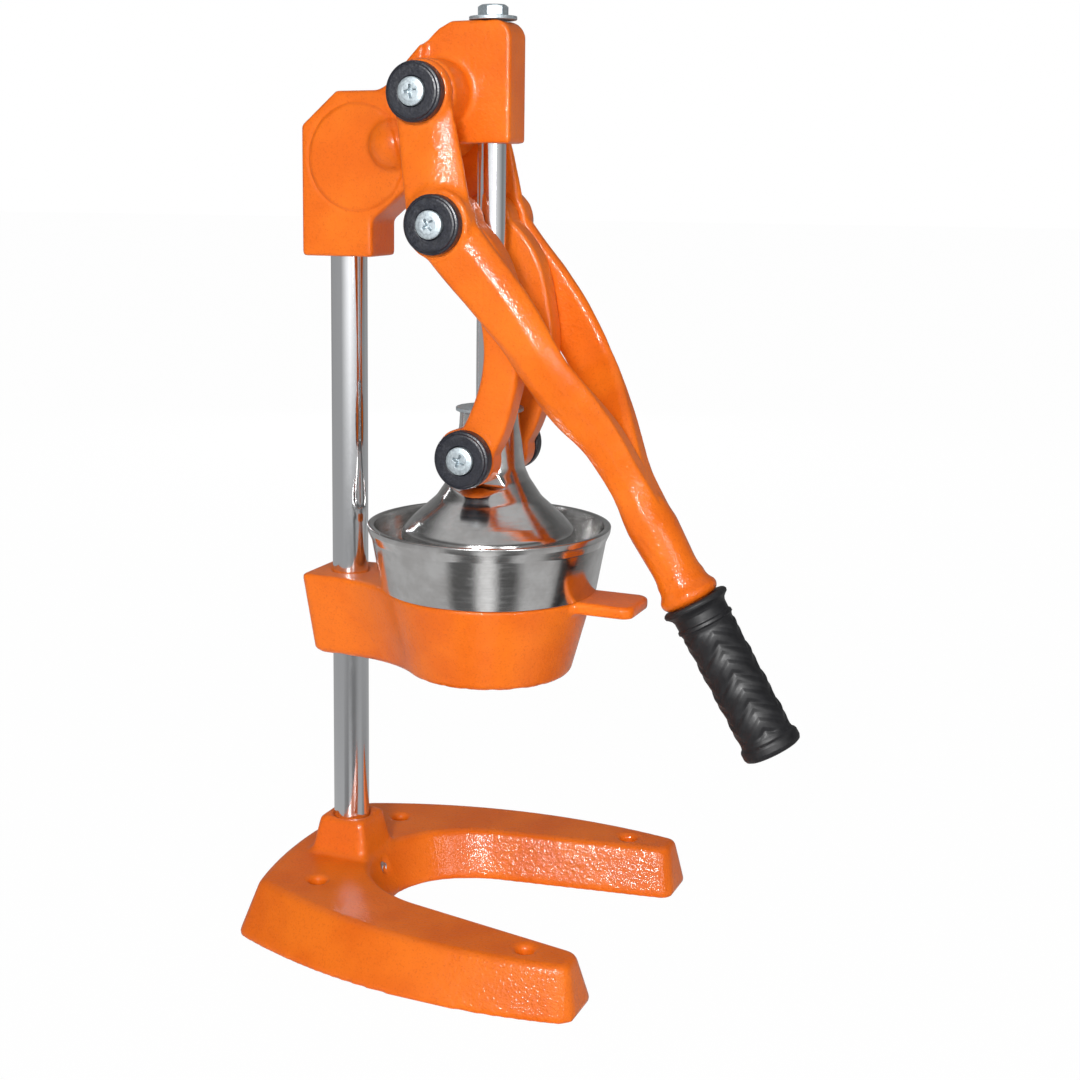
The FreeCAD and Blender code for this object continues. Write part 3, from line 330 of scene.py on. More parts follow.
def bent(corners, steps=5, closed=False):
    """A polyline through corners (x, y, radius), with each corner rounded by its radius."""
    points = []
    count = len(corners)
    for i, corner in enumerate(corners):
        here = np.array(corner[:2], float)
        radius = corner[2] if len(corner) > 2 else 0.0
        if radius <= 0 or (not closed and i in (0, count - 1)):
            points.append(tuple(here))
            continue
        before = np.array(corners[i - 1][:2], float) - here
        after = np.array(corners[(i + 1) % count][:2], float) - here
        to_before, to_after = before / np.linalg.norm(before), after / np.linalg.norm(after)
        half = math.acos(float(np.clip(to_before @ to_after, -1, 1))) / 2
        cut = min(
            radius / math.tan(half), 0.49 * np.linalg.norm(before), 0.49 * np.linalg.norm(after)
        )
        start, end = here + to_before * cut, here + to_after * cut
        for share in np.linspace(0, 1, steps + 1):
            curve = (1 - share) ** 2 * start + 2 * share * (1 - share) * here + share**2 * end
            points.append(tuple(curve))
    return points


def thicken(profile, longest, closed=False):
    """Adds points so that no run of a profile is longer than that."""
    pairs = list(zip(profile, profile[1:] + (profile[:1] if closed else [])))
    dense = []
    for start, end in pairs:
        run = math.dist(start, end)
        parts = max(1, math.ceil(run / longest))
        for k in range(parts):
            share = k / parts
            dense.append(tuple(a + share * (b - a) for a, b in zip(start, end)))
    if not closed:
        dense.append(profile[-1])
    return dense


def lathe(name, profile, closed=False, segments=144, shape=None):
    """Turns a profile of (radius, height) about Z. shape may move the points."""
    rings = []
    points = []
    angles = np.linspace(0, 2 * math.pi, segments, endpoint=False)
    for radius, height in profile:
        if radius < ON_AXIS:
            rings.append([len(points)])
            points.append((0.0, 0.0, height))
            continue
        rings.append(list(range(len(points), len(points) + segments)))
        points += [(radius * math.cos(a), radius * math.sin(a), height) for a in angles]
    faces = []
    pairs = list(zip(rings, rings[1:]))
    if closed:
        pairs.append((rings[-1], rings[0]))
    for low, high in pairs:
        if len(low) == len(high) == 1:
            continue
        for i in range(segments):
            j = (i + 1) % segments
            if len(low) == 1:
                faces.append((low[0], high[j], high[i]))
            elif len(high) == 1:
                faces.append((low[i], low[j], high[0]))
            else:
                faces.append((low[i], low[j], high[j], high[i]))
    if shape:
        points = shape(np.array(points))
    return piece_from(name, points, faces)


def move(piece, matrix):
    """Moves the mesh itself, so that the object stays at the origin."""
    scaled = matrix.copy()
    scaled.translation = matrix.translation * MM
    piece.data.transform(scaled)
    piece.data.update()
    return piece


def frame_at(origin, z_axis, x_hint=(1, 0, 0)):
    """A matrix whose Z follows z_axis, from an origin in millimetres."""
    z = Vector(z_axis).normalized()
    x = Vector(x_hint)
    x = (x - x.dot(z) * z).normalized()
    place = Matrix((x, z.cross(x), z)).transposed().to_4x4()
    place.translation = Vector(origin)
    return place


def ease(values, low, high):
    """Zero below low, one above high and a smooth rise between them."""
    share = np.clip((values - low) / (high - low), 0, 1)
    return share * share * (3 - 2 * share)


def points_of(mesh):
    """The vertices as rows of x, y and z in millimetres."""
    flat = np.empty(len(mesh.vertices) * 3)
    mesh.vertices.foreach_get("co", flat)
    return flat.reshape(-1, 3) / MM


def put_points(mesh, points):
    """Gives the mesh its moved vertices."""
    mesh.vertices.foreach_set("co", (points * MM).ravel())
    mesh.update()


# 4. Sand castings
WELD_DISTANCE = 0.001
UNION_WELD = 0.002
SOFTEN_FACTOR = 0.5
SOFTEN_TIMES = 2


def casting_tree():
    """Rounds a solid: convex edges by one radius and inner corners by another."""
    tree = bpy.data.node_groups.new("casting_rounds", "GeometryNodeTree")
    face = tree.interface
    face.new_socket("Solid", in_out="INPUT", socket_type="NodeSocketGeometry")
    for word in ("Voxel", "Convex radius", "Concave radius"):
        face.new_socket(word, in_out="INPUT", socket_type="NodeSocketFloat")
    face.new_socket("Cast", in_out="OUTPUT", socket_type="NodeSocketGeometry")
    entry = tree.nodes.new("NodeGroupInput")
    leave = tree.nodes.new("NodeGroupOutput")
    weld = tree.nodes.new("GeometryNodeMergeByDistance")
    weld.inputs["Distance"].default_value = WELD_DISTANCE * MM
    tree.links.new(entry.outputs["Solid"], weld.inputs["Geometry"])

    def reckon(operation, first, second):
        node = tree.nodes.new("ShaderNodeMath")
        node.operation = operation
        for socket, value in zip(node.inputs, (first, second)):
            if isinstance(value, float):
                socket.default_value = value
            else:
                tree.links.new(value, socket)
        return node.outputs[0]

    convex, concave = entry.outputs["Convex radius"], entry.outputs["Concave radius"]
    both = reckon("ADD", convex, concave)
    band = reckon("ADD", reckon("DIVIDE", both, entry.outputs["Voxel"]), 3.0)
    solid = weld.outputs["Geometry"]
    for offset in (
        reckon("MULTIPLY", convex, -1.0), both, reckon("MULTIPLY", concave, -1.0)
    ):
        field = tree.nodes.new("GeometryNodeMeshToSDFGrid")
        skin = tree.nodes.new("GeometryNodeGridToMesh")
        tree.links.new(solid, field.inputs["Mesh"])
        tree.links.new(entry.outputs["Voxel"], field.inputs["Voxel Size"])
        tree.links.new(band, field.inputs["Band Width"])
        tree.links.new(field.outputs["SDF Grid"], skin.inputs["Grid"])
        tree.links.new(offset, skin.inputs["Threshold"])
        solid = skin.outputs["Mesh"]
    tree.links.new(solid, leave.inputs["Cast"])
    return tree


CASTING_TREE = casting_tree()


def casting(node, convex, concave, voxel, added=None):
    """The rounded piece that stands for a CAD casting, with an added solid melted in."""
    source = NODES[node]
    copy = bpy.data.objects.new(node + "_solid", source.data.copy())
    bpy.context.scene.collection.objects.link(copy)
    if added:
        weld = copy.modifiers.new("weld", "WELD")
        weld.merge_threshold = UNION_WELD * MM
        union = copy.modifiers.new("union", "BOOLEAN")
        union.operation = "UNION"
        union.solver = "EXACT"
        union.object = added
    rounds = copy.modifiers.new("rounds", "NODES")
    rounds.node_group = CASTING_TREE
    values = {"Voxel": voxel, "Convex radius": convex, "Concave radius": concave}
    for item in CASTING_TREE.interface.items_tree:
        if item.item_type == "SOCKET" and item.in_out == "INPUT" and item.name in values:
            rounds[item.identifier] = values[item.name] * MM
    soften = copy.modifiers.new("soften", "SMOOTH")
    soften.factor = SOFTEN_FACTOR
    soften.iterations = SOFTEN_TIMES
    evaluated = copy.evaluated_get(bpy.context.evaluated_depsgraph_get())
    mesh = bpy.data.meshes.new_from_object(evaluated)
    mesh.name = node + "_cast"
    bpy.data.objects.remove(copy)
    if added:
        bpy.data.objects.remove(added)
    for face in mesh.polygons:
        face.use_smooth = True
    piece = bpy.data.objects.new(node + "_cast", mesh)
    bpy.context.scene.collection.objects.link(piece)
    return dress(piece, node)


# The lever's shank leans this far from straight down, in degrees
SHANK_LEAN = 30.9
SHANK_TOP = (170.6, 0, 213.2)
# The fairing's radius, place along the shank and corner radius, from the fork down
SHANK_ROWS = [
    (11.4, -16, 10.0), (12.5, -6, 14.0), (12.0, 4, 20.0), (11.4, 15, 20.0), (11.8, 26, 0.0),
]
SHANK_ENDS = (-24, 29)
SHANK_END_RADIUS = 8.5


def shank_way():
    """The direction of the lever's shank, towards the grip."""
    lean = math.radians(SHANK_LEAN)
    return Vector((math.sin(lean), 0, -math.cos(lean)))


def shank_fairing():
    """A slim solid round the shank that carries the fork's section down to the collar."""
    first, last = SHANK_ENDS
    profile = bent([
        (0, first), (SHANK_END_RADIUS, first), *SHANK_ROWS, (SHANK_END_RADIUS, last), (0, last),
    ], steps=8)
    fairing = lathe("shank_fairing", thicken(profile, 2.0), segments=96)
    return move(fairing, frame_at(SHANK_TOP, shank_way(), (0, 1, 0)))


# Shares of a bar's length over which its bow and its pinch grow and fade
BOW_GROWS = (0.06, 0.44)
BOW_FADES = (0.74, 1.10)
PINCH_GROWS = (0.46, 0.84)
PINCH_FADES = (0.94, 1.10)
LINK_BOW = -5.0
ARM_BOW = 4.6
ARM_PINCH = 0.36
ARM_FOOT = (159.3, 232.1)
# The lower edge of each arm turns a little: its outer side comes forward, its inner goes back
TURN_EDGE = (2, 12)
TURN_GROWS = (0.34, 0.50)
TURN_FADES = (0.66, 0.82)
TURN_OUTER = 4.0
TURN_OUTER_Y = (35, 42)
TURN_INNER = 3.0
TURN_INNER_Y = (30, 36)


def settle(piece, start, finish, bow, pinch=0.0):
    """Bows a bar between two spots of the side view, and draws its two arms together.

    The bow is square to the line from start to finish, towards the front for a positive one.
    """
    points = points_of(piece.data)
    run = np.array(finish) - np.array(start)
    size = np.hypot(*run)
    ahead, above = points[:, 0] - start[0], points[:, 2] - start[1]
    share = (ahead * run[0] + above * run[1]) / size**2
    out = bow * ease(share, *BOW_GROWS) * (1 - ease(share, *BOW_FADES))
    if pinch:
        lateral = above * run[0] - ahead * run[1]
        away = np.abs(points[:, 1])
        turned = ease(-lateral / size, *TURN_EDGE)
        turned = turned * ease(share, *TURN_GROWS) * (1 - ease(share, *TURN_FADES))
        outer = TURN_OUTER * ease(away, *TURN_OUTER_Y)
        inner = TURN_INNER * (1 - ease(away, *TURN_INNER_Y))
        out += turned * (outer - inner)
    points[:, 0] -= out * run[1] / size
    points[:, 2] += out * run[0] / size
    points[:, 1] *= 1 - pinch * ease(share, *PINCH_GROWS) * (1 - ease(share, *PINCH_FADES))
    put_points(piece.data, points)


FIELD_MIDDLE = (12, 397)
FIELD_RADIUS = 27.0
FIELD_RISE = 0.25
GROOVE_DEEP = 0.55
GROOVE_OUT = 0.5
GROOVE_WIDTH = 0.9
CHEEK = 14.0


def crease(piece):
    """Lifts a round field on both cheeks of the head and cuts a fine line round it."""
    points = points_of(piece.data)
    away = np.hypot(points[:, 0] - FIELD_MIDDLE[0], points[:, 2] - FIELD_MIDDLE[1])
    lift = FIELD_RISE * (1 - ease(away, FIELD_RADIUS - 0.8, FIELD_RADIUS + 0.4))
    lift -= GROOVE_DEEP * np.exp(-(((away - FIELD_RADIUS - GROOVE_OUT) / GROOVE_WIDTH) ** 2))
    cheek = ease(np.abs(points[:, 1]), CHEEK - 1.2, CHEEK - 0.3)
    points[:, 1] += np.sign(points[:, 1]) * lift * cheek
    put_points(piece.data, points)


# Each casting's convex and concave radius and the size of its voxels
CASTINGS = (
    ("base_casting", 1.5, 3.0, 1.0),
    ("cup_holder", 1.2, 2.5, 0.8),
    ("head_casting", 1.1, 2.2, 0.7),
    ("lever_fork", 1.1, 3.0, 0.8),
    ("link_left", 1.1, 2.0, 0.7),
    ("link_right", 1.1, 2.0, 0.7),
)


def castings():
    """The six enamelled castings, with the bow of the lever's arms and of the links."""
    middle_pivot = spot("link_pivot_cap_left")[2]
    bell_pivot = spot("plunger_pivot_cap_left")[2]
    upper, lower = (middle_pivot.x, middle_pivot.z), (bell_pivot.x, bell_pivot.z)
    for node, convex, concave, voxel in CASTINGS:
        added = shank_fairing() if node == "lever_fork" else None
        cast = casting(node, convex, concave, voxel, added)
        if node == "lever_fork":
            settle(cast, upper, ARM_FOOT, ARM_BOW, ARM_PINCH)
        elif node == "head_casting":
            crease(cast)
        elif node.startswith("link"):
            settle(cast, upper, lower, LINK_BOW)


# 5. Pieces
def bars():
    """The column and the plunger's rod, each with eased ends."""
    for node, bevel in (("column", 1.0), ("plunger_rod", 0.8)):
        low, high, middle = spot(node)
        radius = (high.x - low.x) / 2
        rows = np.linspace(low.z + 3, high.z - 3, 12)
        foot = bent([(0, low.z), (radius, low.z, bevel), (radius, rows[0])])
        profile = [(0, low.z), *foot[1:]]
        profile += [(radius, z) for z in rows[1:]]
        profile += bent([(radius, rows[-1]), (radius, high.z, bevel), (0, high.z)])[1:]
        bar = lathe(node + "_bar", profile)
        dress(move(bar, Matrix.Translation((middle.x, middle.y, 0))), node)


LEDGE_DEEP = 32.5
SPOUT_OUTSIDE = 14.0
SPOUT_INSIDE = 11.4


def cup():
    """The turned cup with its rolled lip, ledge, bowl and spout."""
    bottom, top, middle = spot("juice_cup")
    rim, low = top.z, bottom.z
    lip = (top.x - bottom.x) / 2
    ledge = rim - LEDGE_DEEP
    profile = bent([
        (lip - 3.4, rim - 0.4, 0.5),
        (lip - 1.6, rim, 1.4),
        (lip, rim - 0.2, 0.7),
        (lip - 0.4, rim - 3.2, 2.0),
        (lip - 2.4, rim - 7.6, 3.0),
        (lip - 6.9, ledge, 0.4),
        (lip - 11.9, ledge - 0.1, 0.3),
        (lip - 21.6, low + 10.6, 3.0),
        (SPOUT_OUTSIDE, low + 7.6, 2.0),
        (SPOUT_OUTSIDE, low, 0.5),
        (SPOUT_INSIDE, low, 0.5),
        (SPOUT_INSIDE, low + 11.5, 1.5),
        (lip - 24.6, low + 13.7, 3.0),
        (lip - 14.9, ledge + 3.0, 0.4),
        (lip - 10.2, ledge + 3.0, 1.0),
        (lip - 5.2, rim - 9.5, 3.0),
    ], closed=True)
    dense = thicken(profile, 3.0, closed=True)
    piece = lathe("juice_cup_turned", dense, closed=True, segments=192)
    dress(move(piece, Matrix.Translation((middle.x, 0, 0))), "juice_cup")


NECK_FLAT = 15.2
NECK_FOOT = spot("press_bell")[0].z + 22
FLAT_FOOT = spot("plunger_pivot_cap_left")[2].z - 15.2
FLAT_BLEND = 0.6
FLAT_FADE = 2.2


def flatten_neck(points):
    """Presses two cheeks into the neck, with a soft edge all round them."""
    y, z = points[:, 1], points[:, 2]
    limit = NECK_FLAT + np.maximum(0, FLAT_FOOT - z) * FLAT_FADE
    over = np.abs(y) - limit
    soft = 0.5 * (over + np.sqrt(over * over + FLAT_BLEND**2)) - 0.5 * FLAT_BLEND * 0.2
    points[:, 1] = np.where(z > NECK_FOOT, np.sign(y) * (np.abs(y) - np.maximum(soft, 0)), y)
    return points


def bell():
    """The pressing bell: a flared skirt under a neck with two flat cheeks."""
    low, high, middle = spot("press_bell")
    rim, top = low.z, high.z
    skirt = (high.x - low.x) / 2
    outer = bent([
        (0, top),
        (15.0, top, 1.0),
        (15.4, top - 7, 6.0),
        (18.1, rim + 38, 12.0),
        (20.6, rim + 32.5, 10.0),
        (27.0, rim + 22.8, 14.0),
        (38.6, rim + 12.4, 12.0),
        (43.8, rim + 7.0, 5.0),
        (skirt, rim + 2.6, 2.0),
        (skirt - 0.3, rim, 0.8),
        (skirt - 3.4, rim + 0.1, 0.6),
        (skirt - 8.4, rim + 10.0, 10.0),
        (24.0, rim + 25.0, 14.0),
        (10.9, rim + 31.3, 6.0),
        (0, rim + 32.5),
    ], steps=8)
    dense = thicken(outer, 0.9)
    piece = lathe("press_bell_turned", dense, segments=240, shape=flatten_neck)
    dress(move(piece, Matrix.Translation((middle.x, 0, 0))), "press_bell")


def pivot_pieces(kind):
    """Each cap or screw of the six: where it sits, and its reach along its own axis."""
    for number, pivot in enumerate(("head_pivot", "link_pivot", "plunger_pivot")):
        for side, sign in (("left", -1), ("right", 1)):
            node = f"{pivot}_{kind}_{side}"
            low, high, middle = spot(node)
            outer = high.y if sign > 0 else -low.y
            inner = low.y if sign > 0 else -high.y
            place = frame_at((middle.x, 0, middle.z), (0, sign, 0))
            yield node, number, sign, (high.x - low.x) / 2, inner, outer, place


CAP_THICK = 7.0
BUSH_RADIUS = 8.0
BUSH_BORE = 4.05
SINK_DEEP = 2.6


def caps():
    """Bush caps, one on each side of each pivot, with a stepped edge and a sink."""
    for node, _, _, radius, inner, outer, place in pivot_pieces("cap"):
        seat = outer - CAP_THICK
        profile = bent([
            (BUSH_BORE, inner, 0.0),
            (BUSH_RADIUS, inner, 0.4),
            (BUSH_RADIUS, seat, 0.0),
            (radius - 0.3, seat, 0.5),
            (radius, seat + 0.6, 0.4),
            (radius, outer - 1.9, 0.5),
            (radius - 0.45, outer - 1.3, 0.2),
            (radius - 1.3, outer - 1.05, 0.2),
            (radius - 1.6, outer - 0.2, 0.25),
            (radius - 2.4, outer, 0.3),
            (7.6, outer, 0.3),
            (7.2, outer - 0.5, 0.2),
            (7.05, outer - SINK_DEEP, 0.2),
            (BUSH_BORE, outer - SINK_DEEP, 0.0),
        ], closed=True)
        piece = lathe(node + "_turned", profile, closed=True, segments=96)
        dress(move(piece, place), node)


RECESS_HALF = 3.3
RECESS_ARM = 0.85
RECESS_TAPER = 0.35
RECESS_SOFT = 0.28
RECESS_RUN_OUT = 0.9
RECESS_HUB = 1.5
RECESS_DEEP = 2.6


def recessed(points, top):
    """Sinks a cross recess into a dense screw head."""
    x, y, z = points[:, 0], points[:, 1], points[:, 2]
    arm = np.minimum(np.abs(x), np.abs(y))
    reach = np.maximum(np.abs(x), np.abs(y))
    width = RECESS_ARM * (1 - RECESS_TAPER * reach / RECESS_HALF)
    inside = np.clip((width - arm) / RECESS_SOFT + 0.5, 0, 1)
    ends = np.clip((RECESS_HALF - reach) / RECESS_RUN_OUT, 0, 1)
    depth = RECESS_DEEP * inside * ends**0.6
    hub = np.clip((RECESS_HUB - np.hypot(x, y)) / 0.5, 0, 1)
    depth = np.maximum(depth, RECESS_DEEP * hub)
    points[:, 2] = np.where(z > top - RECESS_DEEP - 0.3, z - depth, z)
    return points


HEAD_THICK = 4.4
HEAD_CROWN = 0.14
HEAD_EDGE = 1.2
THREAD_RADIUS = 4.0
# The turn of each screw about its axis: the first one's, then the step from pivot to pivot and
# to each side, in degrees
SCREW_TURNS = (18, 31, 12)


def screws():
    """Pan-head screws with a cross recess."""
    for node, number, sign, rim, inner, outer, place in pivot_pieces("screw"):
        head = outer - HEAD_THICK

        def crown(r):
            return outer - HEAD_CROWN * (r / rim) ** 2

        dome = [
            (rim * math.sin(t), outer - HEAD_EDGE + HEAD_EDGE * math.cos(t) ** 0.5)
            for t in np.linspace(0, math.pi / 2 - 0.02, 40)
        ]
        fine = [(r, crown(r)) for r in np.arange(0.0, 4.6, 0.14)]
        shoulder = [(r, min(z, crown(r))) for r, z in dome if r > 4.7]
        profile = [*fine, *shoulder, (rim, outer - 2.8), (rim - 0.2, head)]
        profile += [(THREAD_RADIUS, head), (THREAD_RADIUS, inner + 0.8), (3.2, inner), (0, inner)]
        piece = lathe(
            node + "_turned", profile, segments=120, shape=lambda p, top=outer: recessed(p, top)
        )
        first, by_pivot, by_side = SCREW_TURNS
        turn = math.radians(first + by_pivot * number + by_side * sign)
        dress(move(piece, place @ Matrix.Rotation(turn, 4, "Z")), node)


def six_sided(points, flat, seat, turn):
    """Draws a turned head in to six flats above its seat."""
    x, y, z = points[:, 0], points[:, 1], points[:, 2]
    angle = np.arctan2(y, x) + turn
    around = (angle + math.pi / 6) % (math.pi / 3) - math.pi / 6
    away = flat / np.cos(around)
    radius = np.hypot(x, y)
    head = z >= seat - 0.01
    scale = np.where(head & (radius > away), away / np.maximum(radius, ON_AXIS), 1.0)
    points[:, 0] *= scale
    points[:, 1] *= scale
    return points


SOCKET_FLAT = 2.0
SOCKET_DEEP = 3.0
THREAD_STEP = 0.625
THREAD_DEEP = 0.35


def set_screws():
    """Hexagon socket set screws: one in the throat of the base, two behind the column."""
    for node in ("base_set_screw", "holder_set_screw", "head_set_screw"):
        low, high, middle = spot(node)
        sign = 1 if middle.x > 0 else -1
        outer = max(sign * low.x, sign * high.x)
        inner = min(sign * low.x, sign * high.x)
        radius = (high.z - low.z) / 2
        grooves = np.arange(inner + 1.2, outer - 1.2, THREAD_STEP)
        thread = [(radius - THREAD_DEEP * (i % 2), z) for i, z in enumerate(grooves)]
        profile = [
            (0, outer - SOCKET_DEEP),
            (SOCKET_FLAT, outer - SOCKET_DEEP),
            (SOCKET_FLAT * 1.12, outer - 0.3),
            (SOCKET_FLAT * 1.25, outer),
            (radius - 0.8, outer),
            *thread[::-1],
            (radius - 0.9, inner),
            (0, inner),
        ]
        screw = lathe(node + "_turned", profile, segments=96)
        dress(move(screw, frame_at((0, 0, middle.z), (sign, 0, 0), (0, 1, 0))), node)


def flat_ring(node, bore, edge):
    """A flat ring with eased edges, for the washer on the rod and the plate on the neck."""
    low, high, middle = spot(node)
    radius = (high.x - low.x) / 2
    ring = lathe(node + "_turned", bent([
        (bore, low.z, 0.2), (radius, low.z, edge), (radius, high.z, edge), (bore, high.z, 0.2),
    ], closed=True), closed=True, segments=96)
    dress(move(ring, Matrix.Translation((middle.x, 0, 0))), node)


def top_bolt():
    """The hexagon bolt on the rod, with its head chamfered all round."""
    seat = spot("rod_top_washer")[1].z
    low, high, middle = spot("rod_top_bolt")
    wide, deep = high.x - low.x, high.y - low.y
    flat = min(wide, deep) / 2
    corner = flat / math.cos(math.radians(30))
    rise = [(corner, z) for z in np.linspace(seat + 0.5, high.z - 1.15, 8)]
    head = bent([
        (0, high.z), (flat - 0.7, high.z, 0.3), (corner, high.z - 1.1), (corner, seat + 0.5),
    ])
    profile = thicken(
        [*head[:-1], *rise[::-1], (flat - 0.3, seat), (THREAD_RADIUS, seat)], 0.5
    )
    profile += [(THREAD_RADIUS, low.z + 0.8), (3.2, low.z), (0, low.z)]
    turn = 0.0 if wide > deep else math.radians(30)
    bolt = lathe(
        "rod_top_bolt_forged", profile, segments=240,
        shape=lambda points: six_sided(points, flat, seat, turn),
    )
    dress(move(bolt, Matrix.Translation((middle.x, 0, 0))), "rod_top_bolt")


def rod_end():
    """The washer and the hexagon bolt on the rod, and the plate on the bell's neck."""
    flat_ring("rod_top_washer", 4.2, 0.4)
    top_bolt()
    flat_ring("neck_disc", 7.1, 0.5)


def grip_outline(s, length):
    """The grip's radius before its tread, s millimetres from its open end."""
    marks = [
        (0.0, 15.2), (0.5, 16.2), (1.6, 16.8), (2.8, 16.5), (3.6, 15.4), (4.8, 14.2), (6.2, 13.6),
        (10.2, 13.5), (10.9, 14.3), (12.3, 14.4), (13.0, 13.6), (14.5, 13.2),
        (length - 9.0, 13.2), (length - 7.6, 13.5), (length - 6.6, 14.5), (length - 5.6, 14.9),
        (length - 2.6, 14.9), (length - 1.0, 14.2), (length - 0.2, 12.6), (length, 11.2),
    ]
    return np.interp(s, [m[0] for m in marks], [m[1] for m in marks])


TREAD_START = 14.5
TREAD_PITCH = 15.4
TREAD_RISE = 0.55
TREAD_LEAN = 9.5
TREAD_CHEVRONS = 3
TREAD_SWELL = 0.40
TREAD_FADE = 1.5
RING_LENGTH = 9.5
# Each ridge's middle, half width and soft edge, as shares of the pitch
WIDE_RIDGE = (0.30, 0.17, 0.14)
SLIM_RIDGE = (0.72, 0.11, 0.13)
SLIM_HEIGHT = 0.85


def grip_tread(angle, s, length):
    """Raised chevrons in pairs round the grip, between its two rings."""
    wedge = np.abs(((angle * TREAD_CHEVRONS / (2 * math.pi) + 0.2) % 1.0) * 2 - 1)
    phase = ((s - TREAD_START - TREAD_LEAN * wedge) / TREAD_PITCH) % 1.0

    def ridge(centre, half, soft):
        gap = np.abs((phase - centre + 0.5) % 1.0 - 0.5)
        return np.clip((half - gap) / soft + 0.5, 0, 1)

    high = np.maximum(ridge(*WIDE_RIDGE), SLIM_HEIGHT * ridge(*SLIM_RIDGE))
    fade = np.clip((s - TREAD_START) / TREAD_FADE, 0, 1)
    fade *= np.clip((length - RING_LENGTH - s) / TREAD_FADE, 0, 1)
    swell = TREAD_SWELL * np.sin(2 * math.pi * (s - TREAD_START) / TREAD_PITCH)
    return (TREAD_RISE * (high - 0.35) + swell) * fade


GRIP_LENGTH = 82.0
GRIP_ROWS = 360
GRIP_SEGMENTS = 260


def grip():
    """The rubber grip over the lever's tang."""
    length, rows, segments = GRIP_LENGTH, GRIP_ROWS, GRIP_SEGMENTS
    s = np.linspace(0, length, rows)
    angles = np.linspace(0, 2 * math.pi, segments, endpoint=False)
    points = [(0.0, 0.0, 1.4)]
    for height in s:
        radius = grip_outline(height, length) + grip_tread(angles, height, length)
        points += list(zip(radius * np.cos(angles), radius * np.sin(angles), [height] * segments))
    points.append((0.0, 0.0, length - 0.4))
    faces = [(0, 1 + (i + 1) % segments, 1 + i) for i in range(segments)]
    for row in range(rows - 1):
        a = 1 + row * segments
        b = a + segments
        faces += [
            (a + i, a + (i + 1) % segments, b + (i + 1) % segments, b + i) for i in range(segments)
        ]
    last = len(points) - 1
    start = 1 + (rows - 1) * segments
    faces += [(start + i, start + (i + 1) % segments, last) for i in range(segments)]
    piece = piece_from("grip_sleeve_moulded", points, faces)
    place = frame_at(grip_start(), shank_way(), (0, 1, 0))
    dress(move(piece, place), "grip_sleeve")


def grip_start():
    """The middle of the grip's open end, from the grip node's own points."""
    shank = shank_way()
    mesh = NODES["grip_sleeve"].data
    along = [(v.co / MM).dot(shank) for v in mesh.vertices]
    middle = sum(((v.co / MM) for v in mesh.vertices), Vector()) / len(mesh.vertices)
    middle.y = 0
    return middle + shank * (min(along) - middle.dot(shank))


# 6. Studio
PAPER_WHITE = 0.985
AMBIENT_LEVEL = 0.35
FLOOR_HALF_M = 12.0
ROOM_BRIGHTEST = 1.5
ROOM_TURN = math.radians(25)
ROOM_RIGHT = (math.cos(ROOM_TURN), math.sin(ROOM_TURN), 0.0)
ROOM_FRONT = (math.sin(ROOM_TURN), -math.cos(ROOM_TURN), 0.0)
# The room round the press, one band for each height: the sine of its elevation, then degrees
# round from the front and how bright it is there. Low down a lit strip stands between two
# dark gaps with pale walls beyond, and at eye level there is a wide window a little to the right
PALE_WALL = 0.52
DARK_GAP = 0.11
LIT_STRIP = 0.90
ROOM_BANDS = [
    (-0.48, [
        (-180, PALE_WALL), (-50, PALE_WALL), (-40, DARK_GAP), (-20, DARK_GAP), (-9, LIT_STRIP),
        (1, LIT_STRIP), (12, DARK_GAP), (26, DARK_GAP), (38, PALE_WALL), (68, PALE_WALL),
        (82, DARK_GAP), (110, DARK_GAP), (150, PALE_WALL), (180, PALE_WALL),
    ]),
    (-0.26, [(-180, 0.38), (-40, 0.36), (0, 0.21), (30, 0.21), (55, 0.34), (180, 0.38)]),
    (-0.06, [
        (-180, 0.25), (-125, 0.35), (-50, 0.38), (5, 1.30), (50, 0.70), (95, 0.22), (130, 0.35),
        (180, 0.25),
    ]),
    (0.20, [(-180, 0.20), (-90, 0.18), (0, 0.40), (90, 0.18), (180, 0.20)]),
    (0.55, [(-180, 0.12), (-90, 0.09), (0, 0.10), (90, 0.09), (180, 0.12)]),
    (0.85, [(-180, 0.50), (180, 0.50)]),
]
# Each lamp's place, the spot it looks at, its sides in metres and its watts, and then whether
# it lights the pieces and whether it glints in them
LAMPS = [
    ("key_lamp", (420, -1700, 850), (80, 0, 220), (0.30, 0.30), 22.0, True, True),
    ("side_lamp", (1100, -900, 500), (80, 0, 220), (0.35, 0.35), 4.0, True, True),
    ("flash_glint", (420, -1700, 850), (80, 0, 220), (0.14, 0.14), 38.0, False, True),
    ("back_lamp", (-700, 1700, 520), (80, 0, 220), (0.60, 0.60), 10.0, True, False),
]


